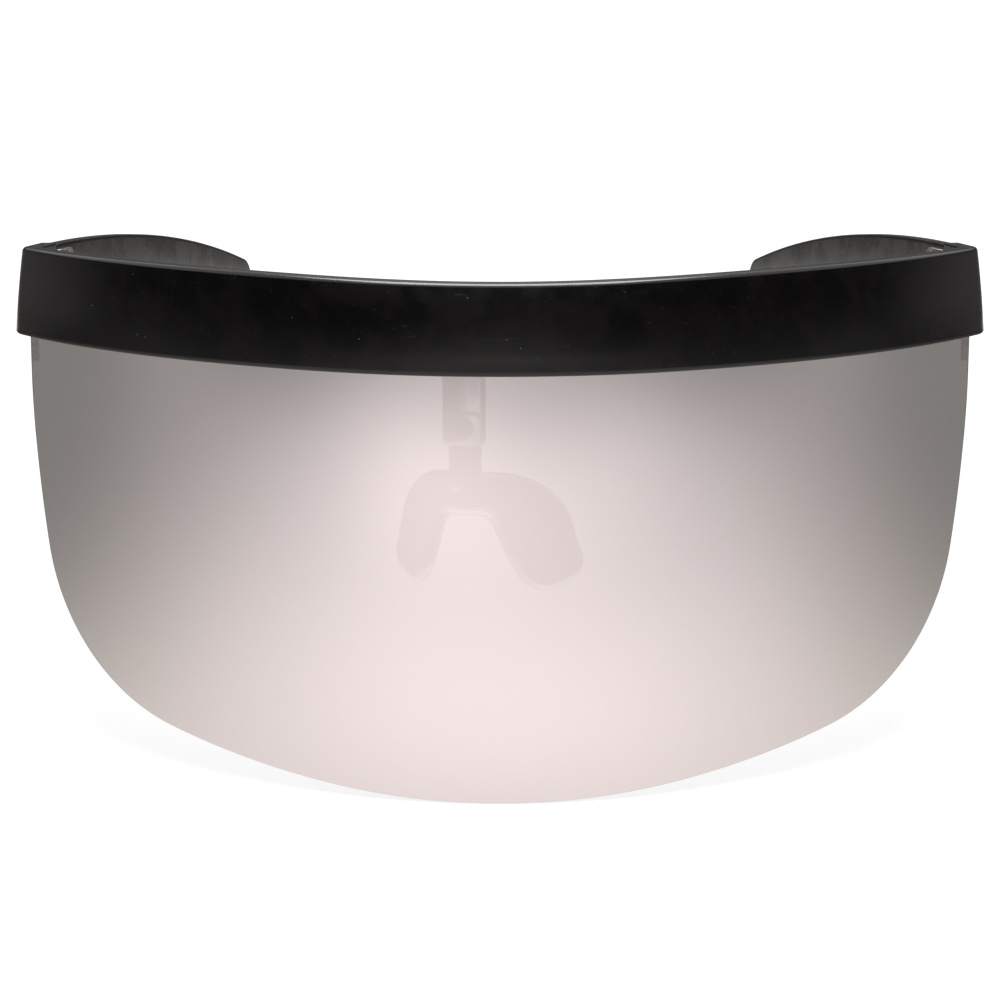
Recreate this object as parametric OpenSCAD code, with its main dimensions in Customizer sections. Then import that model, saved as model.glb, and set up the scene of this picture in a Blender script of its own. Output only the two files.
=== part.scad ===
// Shield sunglasses: one tall mirror lens in a channel under a flat-topped brow bar, a clear nose
// saddle on a stem behind the lens, and two arms on five-knuckle hinges.
// +X is the wearer's left, the front faces -Y and +Z is up. The origin is in the middle of the
// whole, level with the lens's lowest point. All lengths are in millimetres.

/* [Front seen from above] */
// Radius of the bar's outer face across the middle
brow_r = 70; // [64:1:80]
// Half of the angle that the middle arc spans
brow_turn = 23.5; // [21:0.5:26]
// Radius of the bar's outer face along each side
side_r = 132.5; // [122:0.5:145]
// Half of the width over the two corners
half_w = 85.5; // [82:0.1:89]
// Radius of each corner, where the bar turns back into its end piece
corner_r = 6; // [5.5:0.1:8]
// Length of the straight end piece behind each corner
end_piece_l = 7.5; // [7.3:0.1:9]
// Inward lean of the end pieces and arms
arm_lean = 10.5; // [7:0.5:13]

/* [Brow bar] */
// Height of the bar
bar_h = 15.3; // [14.8:0.1:18]
// How much further out the bar's lower edge is than its upper edge
bar_flare = 1.7; // [0.8:0.05:2]
// Thickness of the wall in front of the lens, at the bar's top
front_wall = 0.85; // [0.8:0.05:1.4]
// Thickness of the wall behind the lens
rear_wall = 0.9; // [0.8:0.05:1.4]
// Thickness of the bar above the lens
roof = 1.6; // [1.2:0.1:2.5]
// Rounding of the bar's front upper edge
brow_round = 0.9; // [0.5:0.05:1.1]
// Rounding of the bar's front lower edge
lip_round = 0.6; // [0.3:0.05:0.9]
// Rounding of the bar's two rear edges
rear_round = 0.4; // [0.2:0.05:0.7]

/* [Lens] */
// Thickness of the lens
lens_t = 1.4; // [1.2:0.05:1.6]
// Height of the lens below the bar
lens_drop = 70.5; // [60:0.1:76]
// Half of the lens's width, just under the bar
lens_half_w = 83.7; // [82.6:0.1:84]
// Half of the width of the tab that enters the bar
tab_half_w = 80.5; // [76:0.1:81]
// Radius of the lens's lower edge
lens_low_r = 240; // [220:1:300]
// Radius of the lens's lower corners
lens_corner_r = 32.4; // [26:0.1:34]
// Radius of the lens's side edges
lens_side_r = 227; // [200:1:300]
// Clearance between the lens and each wall of its channel
lens_slack = 0.05; // [0.03:0.01:0.08]

/* [Arms] */
// Length of an arm from its hinge to the middle of its rounded tip
arm_l = 121.5; // [112:0.5:130]
// Radius of the arm's upper edge
arm_top_r = 550; // [520:5:600]
// Radius of the arm's lower edge
arm_low_r = 368; // [350:1:400]
// Distance from the hinge to the highest point of the arm's lower edge
arm_low_at = 25.5; // [20:0.5:30]
// Depth of that point below the top of the bar
arm_low_depth = 14.2; // [13.7:0.1:14.5]
// Depth of the arm's upper edge below the top of the bar, at the hinge
arm_top_gap = 0.35; // [0.1:0.05:0.5]
// Chamfer along the arm's edges
arm_chamfer = 0.7; // [0.3:0.05:0.9]

/* [Hinges] */
// Height of the five knuckles together
hinge_h = 11.8; // [10:0.1:12]
// Depth of the hinge's middle below the top of the bar
hinge_depth = 7.3; // [7:0.1:7.6]
// Radius of the knuckles
knuckle_r = 1.3; // [1.2:0.05:1.4]
// Radius of the hinge screw
pin_r = 0.75; // [0.6:0.05:0.8]
// Running clearance round the hinge screw
pin_play = 0.05; // [0.03:0.01:0.08]
// Gap between neighbouring knuckles
knuckle_gap = 0.08; // [0.05:0.01:0.15]
// Thickness of the hinge leaves
leaf_t = 0.9; // [0.8:0.05:1.1]
// Length of the leaf on the end piece
front_leaf_l = 6.6; // [6:0.1:6.8]
// Length of the leaf on the arm
arm_leaf_l = 7.4; // [7:0.1:12]
// Depth of the pocket for the leaf in the end piece
leaf_pocket = 0.45; // [0.3:0.05:0.7]
// Gap between the end piece and the arm when the arm is open
open_gap = 0.16; // [0.12:0.02:0.3]

/* [Nose piece] */
// Distance of the stem from the middle of the face
stem_shift = -5.8; // [-7:0.1:7]
// Width of the stem
stem_w = 6.8; // [6:0.1:8]
// Thickness of the stem and of the saddle's neck
stem_t = 1.6; // [1.4:0.1:2]
// Depth of the stem's lower end below the top of the bar
stem_depth = 27.3; // [24:0.1:30]
// Depth of the saddle's crest below the top of the bar
saddle_depth = 32.2; // [30:0.1:36]
// Width of the saddle's neck
neck_w = 5.2; // [4.6:0.1:6]
// Turn of the saddle about its neck
saddle_turn = -10; // [-12:0.5:12]
// Width of the band that makes the saddle's crest
crest_w = 6.8; // [6:0.1:8]
// Width of the bands that make the saddle's two legs
leg_w = 8.8; // [7:0.1:9.4]
// Thickness of the saddle
saddle_t = 1.8; // [1.5:0.1:2.2]
// Outer radius of the saddle's crest, seen from above
crest_r = 8; // [7:0.1:9]
// Angle at which each leg sweeps back from the middle plane
leg_sweep = 42; // [36:1:48]
// Half of the distance between the middles of the feet
foot_half_w = 11.6; // [10:0.1:12.5]
// Depth of the middles of the feet below the saddle's crest
foot_depth = 16; // [13:0.1:17]

/* [Small screws] */
// Shank radius of the bar's screws
bar_screw_r = 0.7; // [0.6:0.05:0.8]
// Shank radius of the hinge leaves' screws
leaf_screw_r = 0.6; // [0.5:0.05:0.7]
// Head radius as a multiple of the shank radius
head_share = 1.9; // [1.7:0.05:2]
// Head height of every small screw
head_h = 0.5; // [0.4:0.05:0.7]
// Clearance round a shank in its hole
shank_play = 0.05; // [0.03:0.01:0.1]
// Distance along the bar from the middle to the nearer screw on each side
near_screw_s = 46; // [40:1:52]
// Distance along the bar from the middle to the further screw on each side
far_screw_s = 88; // [80:1:92]
// Depth of those screws below the top of the bar
lens_screw_depth = 8; // [7:0.1:9]
// How deep a bar screw bites into the front wall
front_bite = 0.8; // [0.5:0.05:0.9]
// How deep a leaf screw bites into the plastic
leaf_bite = 1.9; // [1.5:0.05:2.1]
// Radius of the rivet through the stem and the neck
rivet_r = 0.9; // [0.7:0.05:1.1]

/* [Hidden] */
$fn = 72;
ARC_FN = 360;
RIM_FN = 1440;

// One overrun for every cut that has to leave its solid.
over = 1;
// A circle that blends two edges stands this much proud of them, so that it crosses both cleanly.
proud = 0.002;
// The bar, its channel and the lens are run in arcs. Every second run is slim by this much all
// round and reaches this far into its neighbours, so that the runs join cleanly.
slim = 0.01;
lap = 0.1;
// Parts that are screwed together across a slight curve stand this far apart.
seat = 0.02;

// Heights. The lens's lowest point is at zero.
bar_low = lens_drop;
bar_top = bar_low + bar_h;
channel_top = bar_top - roof;
lens_top = channel_top - 2 * lens_slack;

// Offsets inwards from the bar's outer face at mid height.
flare_in = bar_flare / 2;
lens_out = flare_in + front_wall + lens_slack;
lens_in = lens_out + lens_t;
bar_in = lens_in + lens_slack + rear_wall;

// Centres of the three arcs that the bar follows, seen from above, for the +X half.
brow_c = [0, brow_r];
side_c = brow_c + (brow_r - side_r) * [sin(brow_turn), -cos(brow_turn)];
side_turn = asin((half_w - corner_r - side_c.x) / (side_r - corner_r));
corner_c = side_c + (side_r - corner_r) * [sin(side_turn), -cos(side_turn)];
end_turn = 90 + arm_lean;
back = [-sin(arm_lean), cos(arm_lean)];
corner_end = corner_c + corner_r * [sin(end_turn), -cos(end_turn)];
hinge_at = corner_end + (end_piece_l + open_gap / 2) * back;
brow_s = brow_r * brow_turn * PI / 180;
side_lap = lap / side_r * 180 / PI;

// Arm. Its outer face is flush with the end piece's upper edge, its inner face with the pocket.
arm_out = flare_in;
arm_in = bar_in - leaf_pocket;
arm_start = open_gap / 2;
arm_top_c = [0, -arm_top_gap - arm_top_r];
arm_low_c = [arm_low_at, -arm_low_depth - arm_low_r];
tip_c = [arm_l, tip_height(arm_l)];
tip_r = arm_top_r - norm(tip_c - arm_top_c);
// The two edges leave the tip's circle square to the lines from their own centres.
tip_top_dir = (tip_c - arm_top_c) / norm(tip_c - arm_top_c);
tip_low_dir = (arm_low_c - tip_c) / norm(arm_low_c - tip_c);

// Hinge. The pin stands just inside the arm's inner face, its head sunk in the top knuckle.
leaf_play = 0.1;
pin_x = -(arm_in + leaf_play + knuckle_r);
knuckle_pitch = hinge_h / 5;
hinge_low = bar_top - hinge_depth - hinge_h / 2;
leaf_round = 1.2;
leaf_screw_z = hinge_h * 0.28;
front_leaf_screw_y = -front_leaf_l * 0.62;
arm_leaf_screw_y = arm_leaf_l * 0.66;
pin_head_h = 0.5;
pin_head_r = (pin_r + knuckle_r) / 2;

// Whole object, front to back.
front_y = -flare_in;
back_y = hinge_at.y + (tip_c.x + tip_r) * cos(arm_lean) - arm_out * sin(arm_lean);
middle_y = (front_y + back_y) / 2;

// The one of two circles' crossings whose first coordinate is nearer to near.
function crossing(a, ra, b, rb, near) =
  let(
    gap = b - a,
    d = norm(gap),
    along = (ra * ra - rb * rb + d * d) / (2 * d),
    aside = sqrt(ra * ra - along * along),
    foot = a + gap * along / d,
    turn = [-gap.y, gap.x] * aside / d,
    p = foot + turn,
    q = foot - turn
  )
  abs(p.x - near) < abs(q.x - near) ? p : q;

// Height of the centre of the circle, at distance x along the arm, that touches both of its
// edges. The centre's distances to the centres of the two edges always have the same sum.
function tip_height(x) =
  let(
    sum = arm_top_r + arm_low_r,
    far = 2 * arm_low_c.x * x - arm_low_c * arm_low_c + arm_top_c.y * arm_top_c.y,
    p = (sum + far / sum) / 2,
    q = (arm_top_c.y - arm_low_c.y) / sum,
    b = p * q - arm_top_c.y,
    c = x * x + arm_top_c.y * arm_top_c.y - p * p,
    a = 1 - q * q
  )
  (-b + sqrt(b * b - a * c)) / a;

// Angle of the bar's outer face at distance s along it from the middle.
function turn_at(s) =
  abs(s) <= brow_s
    ? s / brow_r * 180 / PI
    : sign(s) * (brow_turn + (abs(s) - brow_s) / side_r * 180 / PI);

module in_place() {
  translate([0, -middle_y, 0]) children();
}

// Puts children on the bar's outer face at distance s along it, with +Y pointing to the rear.
module on_bar(s) {
  middle = abs(s) <= brow_s;
  c = middle ? brow_c : [sign(s) * side_c.x, side_c.y];
  r = middle ? brow_r : side_r;
  translate([c.x, c.y, 0]) rotate([0, 0, turn_at(s)]) translate([0, -r, 0]) children();
}

// Puts children at the wearer's left hinge: +X points out and +Y back along the arm.
module at_hinge() {
  translate([hinge_at.x, hinge_at.y, 0]) rotate([0, 0, arm_lean]) children();
}

// A flat outline of offsets and heights carried round an arc, from angle a0 to angle a1.
module sweep(c, r, a0, a1) {
  translate([c.x, c.y, 0])
    rotate([0, 0, a0 - 90])
      rotate_extrude(angle = a1 - a0, $fn = ARC_FN)
        translate([r, 0]) children();
}

// A convex outline, counterclockwise, with a radius on each corner.
module rounded(points, radii) {
  n = len(points);
  function unit(v) = v / norm(v);
  function to_last(i) = unit(points[(i + n - 1) % n] - points[i]);
  function to_next(i) = unit(points[(i + 1) % n] - points[i]);
  function half(i) = acos(to_last(i) * to_next(i)) / 2;
  function reach(i) = radii[i] / tan(half(i));
  polygon([
    for (i = [0:n - 1])
      each [points[i] + to_last(i) * reach(i), points[i] + to_next(i) * reach(i)]
  ]);
  for (i = [0:n - 1])
    translate(points[i] + unit(to_last(i) + to_next(i)) * radii[i] / sin(half(i)))
      circle(r = radii[i] + proud);
}

// These three outlines are cut back by trim on every side.
module bar_outline(trim) {
  translate([0, bar_low])
    rounded(
      [
        [-bar_in + trim, trim],
        [flare_in - trim, trim],
        [-flare_in - trim, bar_h - trim],
        [-bar_in + trim, bar_h - trim]
      ],
      [rear_round, lip_round, brow_round, rear_round]
    );
}

module channel_outline(trim) {
  translate([-lens_in - lens_slack + trim, bar_low - over])
    square([lens_t + 2 * lens_slack - 2 * trim, channel_top - bar_low + over - trim]);
}

module sheet_outline(trim) {
  translate([-lens_in + trim, -over]) square([lens_t - 2 * trim, lens_top + 2 * over]);
}

module both_sides() {
  children();
  mirror([1, 0, 0]) children();
}

// Screws. The head lies on z = 0 and the shank goes down.
module screw(shank_r, shank_l) {
  head_r = shank_r * head_share;
  slot_w = shank_r * 0.45;
  slot_l = head_r * 1.2;
  slot_h = head_h * 0.6;
  difference() {
    union() {
      cylinder(r1 = head_r, r2 = head_r * 0.85, h = head_h);
      translate([0, 0, -shank_l]) cylinder(r = shank_r, h = shank_l + head_h / 2);
    }
    for (a = [0, 90])
      rotate([0, 0, a])
        translate([-slot_l / 2, -slot_w / 2, head_h - slot_h])
          cube([slot_l, slot_w, slot_h + over]);
  }
}

// Depth, from the bar's outer face, at which a bar screw ends.
bar_screw_end = lens_out - lens_slack - front_bite;

module bar_screw_hole(s, depth) {
  hole_l = bar_in - bar_screw_end + over;
  on_bar(s)
    translate([0, bar_screw_end, bar_top - depth])
      rotate([-90, 0, 0])
        cylinder(r = bar_screw_r + shank_play, h = hole_l);
}

// A screw whose head lies at distance lift behind the bar's rear wall.
module bar_screw(s, depth, lift) {
  head_y = bar_in + lift;
  on_bar(s)
    translate([0, head_y, bar_top - depth])
      rotate([-90, 0, 0])
        screw(bar_screw_r, head_y - bar_screw_end - shank_play);
}

lens_screw_places = [-far_screw_s, -near_screw_s, near_screw_s, far_screw_s];
stem_s = asin(stem_shift / (brow_r - bar_in)) * brow_r * PI / 180;
stem_screw_depths = [bar_h * 0.33, bar_h * 0.7];
stem_lift = seat + stem_w * stem_w / (8 * (brow_r - bar_in));

module all_bar_screw_holes() {
  for (s = lens_screw_places) bar_screw_hole(s, lens_screw_depth);
  for (depth = stem_screw_depths) bar_screw_hole(stem_s, depth);
}

// The moulded bar: one outline carried round the front, both corners and the two end pieces.
module brow_bar() {
  groove_turn = asin((tab_half_w + lens_t - side_c.x) / (side_r - lens_in));
  color([0.07, 0.07, 0.075])
    in_place()
      difference() {
        union() {
          sweep(brow_c, brow_r, -brow_turn, brow_turn) bar_outline(0);
          both_sides() {
            sweep(side_c, side_r, brow_turn - side_lap, side_turn + side_lap) bar_outline(slim);
            sweep(corner_c, corner_r, side_turn, end_turn) bar_outline(0);
            translate([corner_end.x, corner_end.y, 0])
              rotate([0, 0, arm_lean])
                translate([0, end_piece_l, 0])
                  rotate([90, 0, 0])
                    linear_extrude(end_piece_l + lap) bar_outline(slim);
          }
        }
        sweep(brow_c, brow_r, -brow_turn, brow_turn) channel_outline(0);
        both_sides() {
          sweep(side_c, side_r, brow_turn - side_lap, groove_turn) channel_outline(slim);
          at_hinge() leaf_pocket_cut();
          at_hinge() leaf_screw_holes(front_leaf_screw_y);
        }
        all_bar_screw_holes();
      }
}

module leaf_pocket_cut() {
  play = leaf_play;
  translate([-bar_in - over, -front_leaf_l - play, hinge_low - play])
    cube([leaf_pocket + over, front_leaf_l + play + over, hinge_h + 2 * play]);
}

// Flat outline of the lens: two side arcs and a lower arc, blended by corner arcs, with a
// narrower tab that goes up into the bar. Each corner is cut off along the chord of its blend.
module lens_outline() {
  low_c = [0, lens_low_r];
  edge_c = [lens_half_w - lens_side_r, bar_low];
  blend_c = crossing(
    low_c, lens_low_r - lens_corner_r, edge_c, lens_side_r - lens_corner_r, lens_half_w
  );
  blend_low = blend_c + (blend_c - low_c) / norm(blend_c - low_c) * lens_corner_r;
  blend_high = blend_c + (blend_c - edge_c) / norm(blend_c - edge_c) * lens_corner_r;
  chord = blend_high - blend_low;
  tab_low = bar_low - lens_slack;
  difference() {
    intersection() {
      translate(low_c) circle(r = lens_low_r, $fn = ARC_FN);
      both_edges() translate(edge_c) circle(r = lens_side_r, $fn = ARC_FN);
      translate([-half_w, -over]) square([2 * half_w, tab_low + over]);
    }
    for (m = [0, 1])
      mirror([m, 0])
        translate(blend_low)
          rotate([0, 0, atan2(chord.y, chord.x)])
            translate([-lens_corner_r, -lens_corner_r])
              square([norm(chord) + 2 * lens_corner_r, lens_corner_r]);
  }
  for (way = [-1, 1])
    translate([way * blend_c.x, blend_c.y]) circle(r = lens_corner_r + proud, $fn = ARC_FN);
  translate([-tab_half_w, tab_low - over]) square([2 * tab_half_w, lens_top - tab_low + over]);
}

module both_edges() {
  intersection() {
    children();
    mirror([1, 0]) children();
  }
}

// The bent sheet, trimmed to its outline.
module shield_lens() {
  sheet_turn = asin((half_w - side_c.x) / (side_r - lens_in));
  color([0.85, 0.82, 0.82])
    in_place()
      difference() {
        intersection() {
          union() {
            sweep(brow_c, brow_r, -brow_turn, brow_turn) sheet_outline(0);
            both_sides() sweep(side_c, side_r, brow_turn - side_lap, sheet_turn) sheet_outline(slim);
          }
          translate([0, brow_r + side_r, 0])
            rotate([90, 0, 0])
              linear_extrude(brow_r + side_r + over) lens_outline();
        }
        all_bar_screw_holes();
      }
}

module lens_screws() {
  color([0.72, 0.73, 0.75])
    in_place()
      for (s = lens_screw_places) bar_screw(s, lens_screw_depth, seat);
}

// Nose piece. Its own frame stands on the bar's rear wall, with +Y to the rear.
module at_stem() {
  on_bar(stem_s) translate([0, bar_in + stem_lift, bar_top]) children();
}

stem_top = 3 * rear_round;
neck_lap = 5.5;
rivet_depth = stem_depth - neck_lap / 2;
rivet_head_h = 0.35;
rivet_head_share = 1.7;

module rivet_hole() {
  translate([0, -over, -rivet_depth])
    rotate([-90, 0, 0])
      cylinder(r = rivet_r, h = 2 * stem_t + 2 * over);
}

// The clear tongue that hangs behind the lens.
module nose_stem() {
  corner = stem_w / 6;
  color([0.85, 0.88, 0.9, 0.5])
    in_place()
      at_stem()
        difference() {
          translate([0, stem_t, -stem_depth])
            rotate([90, 0, 0])
              linear_extrude(stem_t)
                rounded(
                  [
                    [-stem_w / 2, 0],
                    [stem_w / 2, 0],
                    [stem_w / 2, stem_depth - stem_top],
                    [-stem_w / 2, stem_depth - stem_top]
                  ],
                  [corner, corner, corner, corner]
                );
          for (depth = stem_screw_depths)
            translate([0, -over, -depth])
              rotate([-90, 0, 0])
                cylinder(r = bar_screw_r + shank_play, h = stem_t + 2 * over);
          rivet_hole();
        }
}

module stem_screws() {
  color([0.72, 0.73, 0.75])
    in_place()
      for (depth = stem_screw_depths) bar_screw(stem_s, depth, stem_lift + stem_t);
}

module saddle_rivet() {
  head_r = rivet_r * rivet_head_share;
  body_l = 2 * stem_t + seat;
  color([0.72, 0.73, 0.75])
    in_place()
      at_stem()
        translate([0, 0, -rivet_depth])
          rotate([-90, 0, 0]) {
            cylinder(r = rivet_r, h = body_l);
            translate([0, 0, -rivet_head_h]) cylinder(r = head_r, h = rivet_head_h);
            translate([0, 0, body_l]) cylinder(r = head_r, h = rivet_head_h);
          }
}

// A band of constant width along straight pieces, with round joints.
module band(points, w) {
  for (i = [0:len(points) - 2]) {
    d = points[i + 1] - points[i];
    translate(points[i])
      rotate([0, 0, atan2(d.y, d.x)])
        translate([0, -w / 2]) square([norm(d), w]);
  }
  for (p = points) translate(p) circle(r = w / 2 + proud);
}

// Front view of the saddle: an upside-down U whose legs spread to the feet.
module saddle_front() {
  crest_half = foot_half_w * 0.36;
  crest_z = -crest_w / 2;
  shoulder = [foot_half_w * 0.66, -foot_depth * 0.44];
  foot = [foot_half_w, -foot_depth];
  band(
    [[-shoulder.x, shoulder.y], [-crest_half, crest_z], [crest_half, crest_z], shoulder],
    crest_w
  );
  band([[-foot.x, foot.y], [-shoulder.x, shoulder.y]], leg_w);
  band([shoulder, foot], leg_w);
}

// The saddle's plan, filled in: a round crest of radius r, then two flanks that sweep back.
module saddle_plan(r) {
  flank = 3 * crest_r * [sin(leg_sweep), cos(leg_sweep)];
  side = r * [cos(leg_sweep), -sin(leg_sweep)];
  translate([0, crest_r]) {
    circle(r = r + proud);
    polygon([
      side,
      side + flank,
      [-side.x - flank.x, side.y + flank.y],
      [-side.x, side.y]
    ]);
  }
}

module nose_saddle() {
  color([0.88, 0.9, 0.92, 0.5])
    in_place()
      at_stem()
        translate([0, stem_t + seat, 0])
          difference() {
            union() {
              translate([-neck_w / 2, 0, -saddle_depth - saddle_t])
                cube([neck_w, stem_t, saddle_depth + saddle_t - stem_depth + neck_lap]);
              translate([0, 0, -saddle_depth]) rotate([0, 0, saddle_turn]) saddle_shell();
            }
            translate([0, -stem_t, 0]) rivet_hole();
          }
}

module saddle_shell() {
  reach = 3 * crest_r;
  intersection() {
    translate([0, reach, 0]) rotate([90, 0, 0]) linear_extrude(reach + over) saddle_front();
    translate([0, 0, -foot_depth - leg_w])
      linear_extrude(foot_depth + 2 * leg_w)
        difference() {
          saddle_plan(crest_r);
          saddle_plan(crest_r - saddle_t);
        }
  }
}

// Hinges, drawn for the wearer's left. The right ones are mirror images.
module knuckle(i) {
  z = hinge_low + i * knuckle_pitch + knuckle_gap / 2;
  translate([pin_x, 0, z]) cylinder(r = knuckle_r, h = knuckle_pitch - knuckle_gap);
}

// The strip of leaf that joins knuckle i to its leaf, on the side of the pin given by way.
module knuckle_arm(i, way) {
  z = hinge_low + i * knuckle_pitch + knuckle_gap / 2;
  l = knuckle_r + 2 * leaf_play + leaf_round;
  translate([-arm_in - leaf_t, way > 0 ? 0 : -l, z])
    cube([leaf_t, l, knuckle_pitch - knuckle_gap]);
}

module leaf(way, length, knuckles) {
  start = knuckle_r + 2 * leaf_play;
  union() {
    translate([-arm_in, 0, hinge_low])
      rotate([90, 0, -90])
        linear_extrude(leaf_t)
          mirror([way > 0 ? 1 : 0, 0])
            rounded(
              [[start, 0], [length, 0], [length, hinge_h], [start, hinge_h]],
              [leaf_round / 4, leaf_round, leaf_round, leaf_round / 4]
            );
    for (i = knuckles) {
      knuckle_arm(i, way);
      knuckle(i);
    }
  }
}

module pin_hole() {
  translate([pin_x, 0, hinge_low - over]) cylinder(r = pin_r + pin_play, h = hinge_h + 2 * over);
  translate([pin_x, 0, hinge_low + hinge_h - pin_head_h - pin_play])
    cylinder(r = pin_head_r + pin_play, h = pin_head_h + over);
}

// Both holes of one leaf, through the leaf and into the plastic behind it.
module leaf_screw_holes(y) {
  for (z = [-leaf_screw_z, leaf_screw_z])
    translate([-arm_in - leaf_t - over, y, bar_top - hinge_depth + z])
      rotate([0, 90, 0])
        cylinder(r = leaf_screw_r + shank_play, h = leaf_t + over + leaf_bite + shank_play);
}

module leaf_screws(y) {
  for (z = [-leaf_screw_z, leaf_screw_z])
    translate([-arm_in - leaf_t, y, bar_top - hinge_depth + z])
      rotate([0, -90, 0])
        screw(leaf_screw_r, leaf_t + leaf_bite);
}

module front_hinge() {
  color([0.62, 0.62, 0.64])
    in_place()
      at_hinge()
        difference() {
          leaf(-1, front_leaf_l, [0, 2, 4]);
          pin_hole();
          leaf_screw_holes(front_leaf_screw_y);
        }
}

module temple_hinge() {
  color([0.62, 0.62, 0.64])
    in_place()
      at_hinge()
        difference() {
          leaf(1, arm_leaf_l, [1, 3]);
          pin_hole();
          leaf_screw_holes(arm_leaf_screw_y);
        }
}

module hinge_screw() {
  slot_w = pin_r * 0.5;
  color([0.75, 0.75, 0.77])
    in_place()
      at_hinge()
        translate([pin_x, 0, hinge_low])
          difference() {
            union() {
              cylinder(r = pin_r, h = hinge_h);
              translate([0, 0, hinge_h - pin_head_h]) cylinder(r = pin_head_r, h = pin_head_h);
            }
            translate([-knuckle_r, -slot_w / 2, hinge_h - pin_head_h * 0.6])
              cube([2 * knuckle_r, slot_w, pin_head_h]);
          }
}

module front_hinge_screws() {
  color([0.75, 0.75, 0.77]) in_place() at_hinge() leaf_screws(front_leaf_screw_y);
}

module temple_hinge_screws() {
  color([0.75, 0.75, 0.77]) in_place() at_hinge() leaf_screws(arm_leaf_screw_y);
}

// Arm. Flat outlines here are drawn with the distance along the arm and the height over it.
module arm_frame() {
  translate([0, 0, bar_top]) rotate([90, 0, 90]) children();
}

// Half of an outline of the arm's section, from radius r0 to r1, chamfered at the ends asked for.
module rim_outline(r0, r1, cut_low, cut_high) {
  t = arm_in - arm_out;
  c0 = cut_low ? arm_chamfer : 0;
  c1 = cut_high ? arm_chamfer : 0;
  polygon([
    [r0, -t / 2 + c0],
    [r0 + c0, -t / 2],
    [r1 - c1, -t / 2],
    [r1, -t / 2 + c1],
    [r1, t / 2 - c1],
    [r1 - c1, t / 2],
    [r0 + c0, t / 2],
    [r0, t / 2 - c0]
  ]);
}

// A ring about c, in the arm's own flat frame.
module rim(c, r0, r1, cut_low, cut_high) {
  translate([c.x, c.y, -(arm_in + arm_out) / 2])
    rotate_extrude($fn = RIM_FN) rim_outline(r0, r1, cut_low, cut_high);
}

// The arm's rounded tip, chamfered on both faces.
module tip_disc() {
  t = arm_in - arm_out;
  r = tip_r + proud;
  cylinder(r1 = r - arm_chamfer, r2 = r, h = arm_chamfer);
  translate([0, 0, arm_chamfer]) cylinder(r = r, h = t - 2 * arm_chamfer);
  translate([0, 0, t - arm_chamfer]) cylinder(r1 = r, r2 = r - arm_chamfer, h = arm_chamfer);
}

module temple() {
  band_h = 3 * arm_low_depth;
  reach = arm_low_depth;
  color([0.1, 0.095, 0.095])
    in_place()
      at_hinge()
        difference() {
          arm_frame() {
            intersection() {
              rim(arm_top_c, arm_top_r - band_h, arm_top_r, false, true);
              rim(arm_low_c, arm_low_r, arm_low_r + band_h, true, false);
              translate([0, 0, -arm_in - over])
                linear_extrude(arm_in - arm_out + 2 * over)
                  polygon([
                    [arm_start, reach],
                    [arm_start, -2 * reach],
                    [tip_c.x, tip_c.y - 4 * reach],
                    tip_c + tip_low_dir * 2 * tip_r,
                    tip_c,
                    tip_c + tip_top_dir * 2 * tip_r,
                    [tip_c.x, reach]
                  ]);
            }
            translate([tip_c.x, tip_c.y, -arm_in]) tip_disc();
          }
          leaf_screw_holes(arm_leaf_screw_y);
        }
}

brow_bar();
shield_lens();
lens_screws();
nose_stem();
stem_screws();
nose_saddle();
saddle_rivet();
front_hinge();  // left_front_hinge
front_hinge_screws();  // left_front_hinge_screws
temple_hinge();  // left_temple_hinge
temple_hinge_screws();  // left_temple_hinge_screws
hinge_screw();  // left_hinge_screw
temple();  // left_temple
mirror([1, 0, 0]) front_hinge();  // right_front_hinge
mirror([1, 0, 0]) front_hinge_screws();  // right_front_hinge_screws
mirror([1, 0, 0]) temple_hinge();  // right_temple_hinge
mirror([1, 0, 0]) temple_hinge_screws();  // right_temple_hinge_screws
mirror([1, 0, 0]) hinge_screw();  // right_hinge_screw
mirror([1, 0, 0]) temple();  // right_temple
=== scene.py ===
"""Looks of the shield sunglasses: surfaces for the moulded and mirrored pieces, finishes for
all pieces, and the stage."""

import math

import bmesh
import bpy
import numpy as np
from bpy.props import FloatProperty, FloatVectorProperty, PointerProperty
from bpy.types import Operator, Panel, PropertyGroup
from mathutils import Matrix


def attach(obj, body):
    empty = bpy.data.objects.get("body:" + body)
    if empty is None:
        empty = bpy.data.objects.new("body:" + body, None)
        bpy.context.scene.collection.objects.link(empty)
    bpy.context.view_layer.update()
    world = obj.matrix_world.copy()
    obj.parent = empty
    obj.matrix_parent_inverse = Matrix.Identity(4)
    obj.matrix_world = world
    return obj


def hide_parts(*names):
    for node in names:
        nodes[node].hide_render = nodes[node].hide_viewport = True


bl_info = {
    "name": "Shield sunglasses",
    "version": (1, 0, 0),
    "blender": (4, 5, 0),
    "location": "3D View > Sidebar > Sunglasses",
    "description": "Builds the surfaces, finishes and stage of a pair of shield sunglasses",
    "category": "Object",
}

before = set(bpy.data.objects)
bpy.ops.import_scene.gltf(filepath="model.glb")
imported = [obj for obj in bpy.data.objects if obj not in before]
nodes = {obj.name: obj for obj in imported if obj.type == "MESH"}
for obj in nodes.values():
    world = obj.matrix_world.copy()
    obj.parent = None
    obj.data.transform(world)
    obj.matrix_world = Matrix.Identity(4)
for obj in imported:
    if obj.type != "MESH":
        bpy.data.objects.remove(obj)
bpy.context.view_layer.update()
WARM = (1, 0.955, 0.93, 1)  # tint of what gloss sees of the studio


def size(name, description, mm):
    """A length that a user may change, given in millimetres and kept in metres."""
    return FloatProperty(
        name=name, description=description, default=mm / 1000, unit="LENGTH", precision=5
    )


def angle(name, description, degrees):
    """An angle that a user may change, given in degrees."""
    default = math.radians(degrees)
    return FloatProperty(
        name=name, description=description, default=default, subtype="ANGLE", unit="ROTATION"
    )


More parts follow.
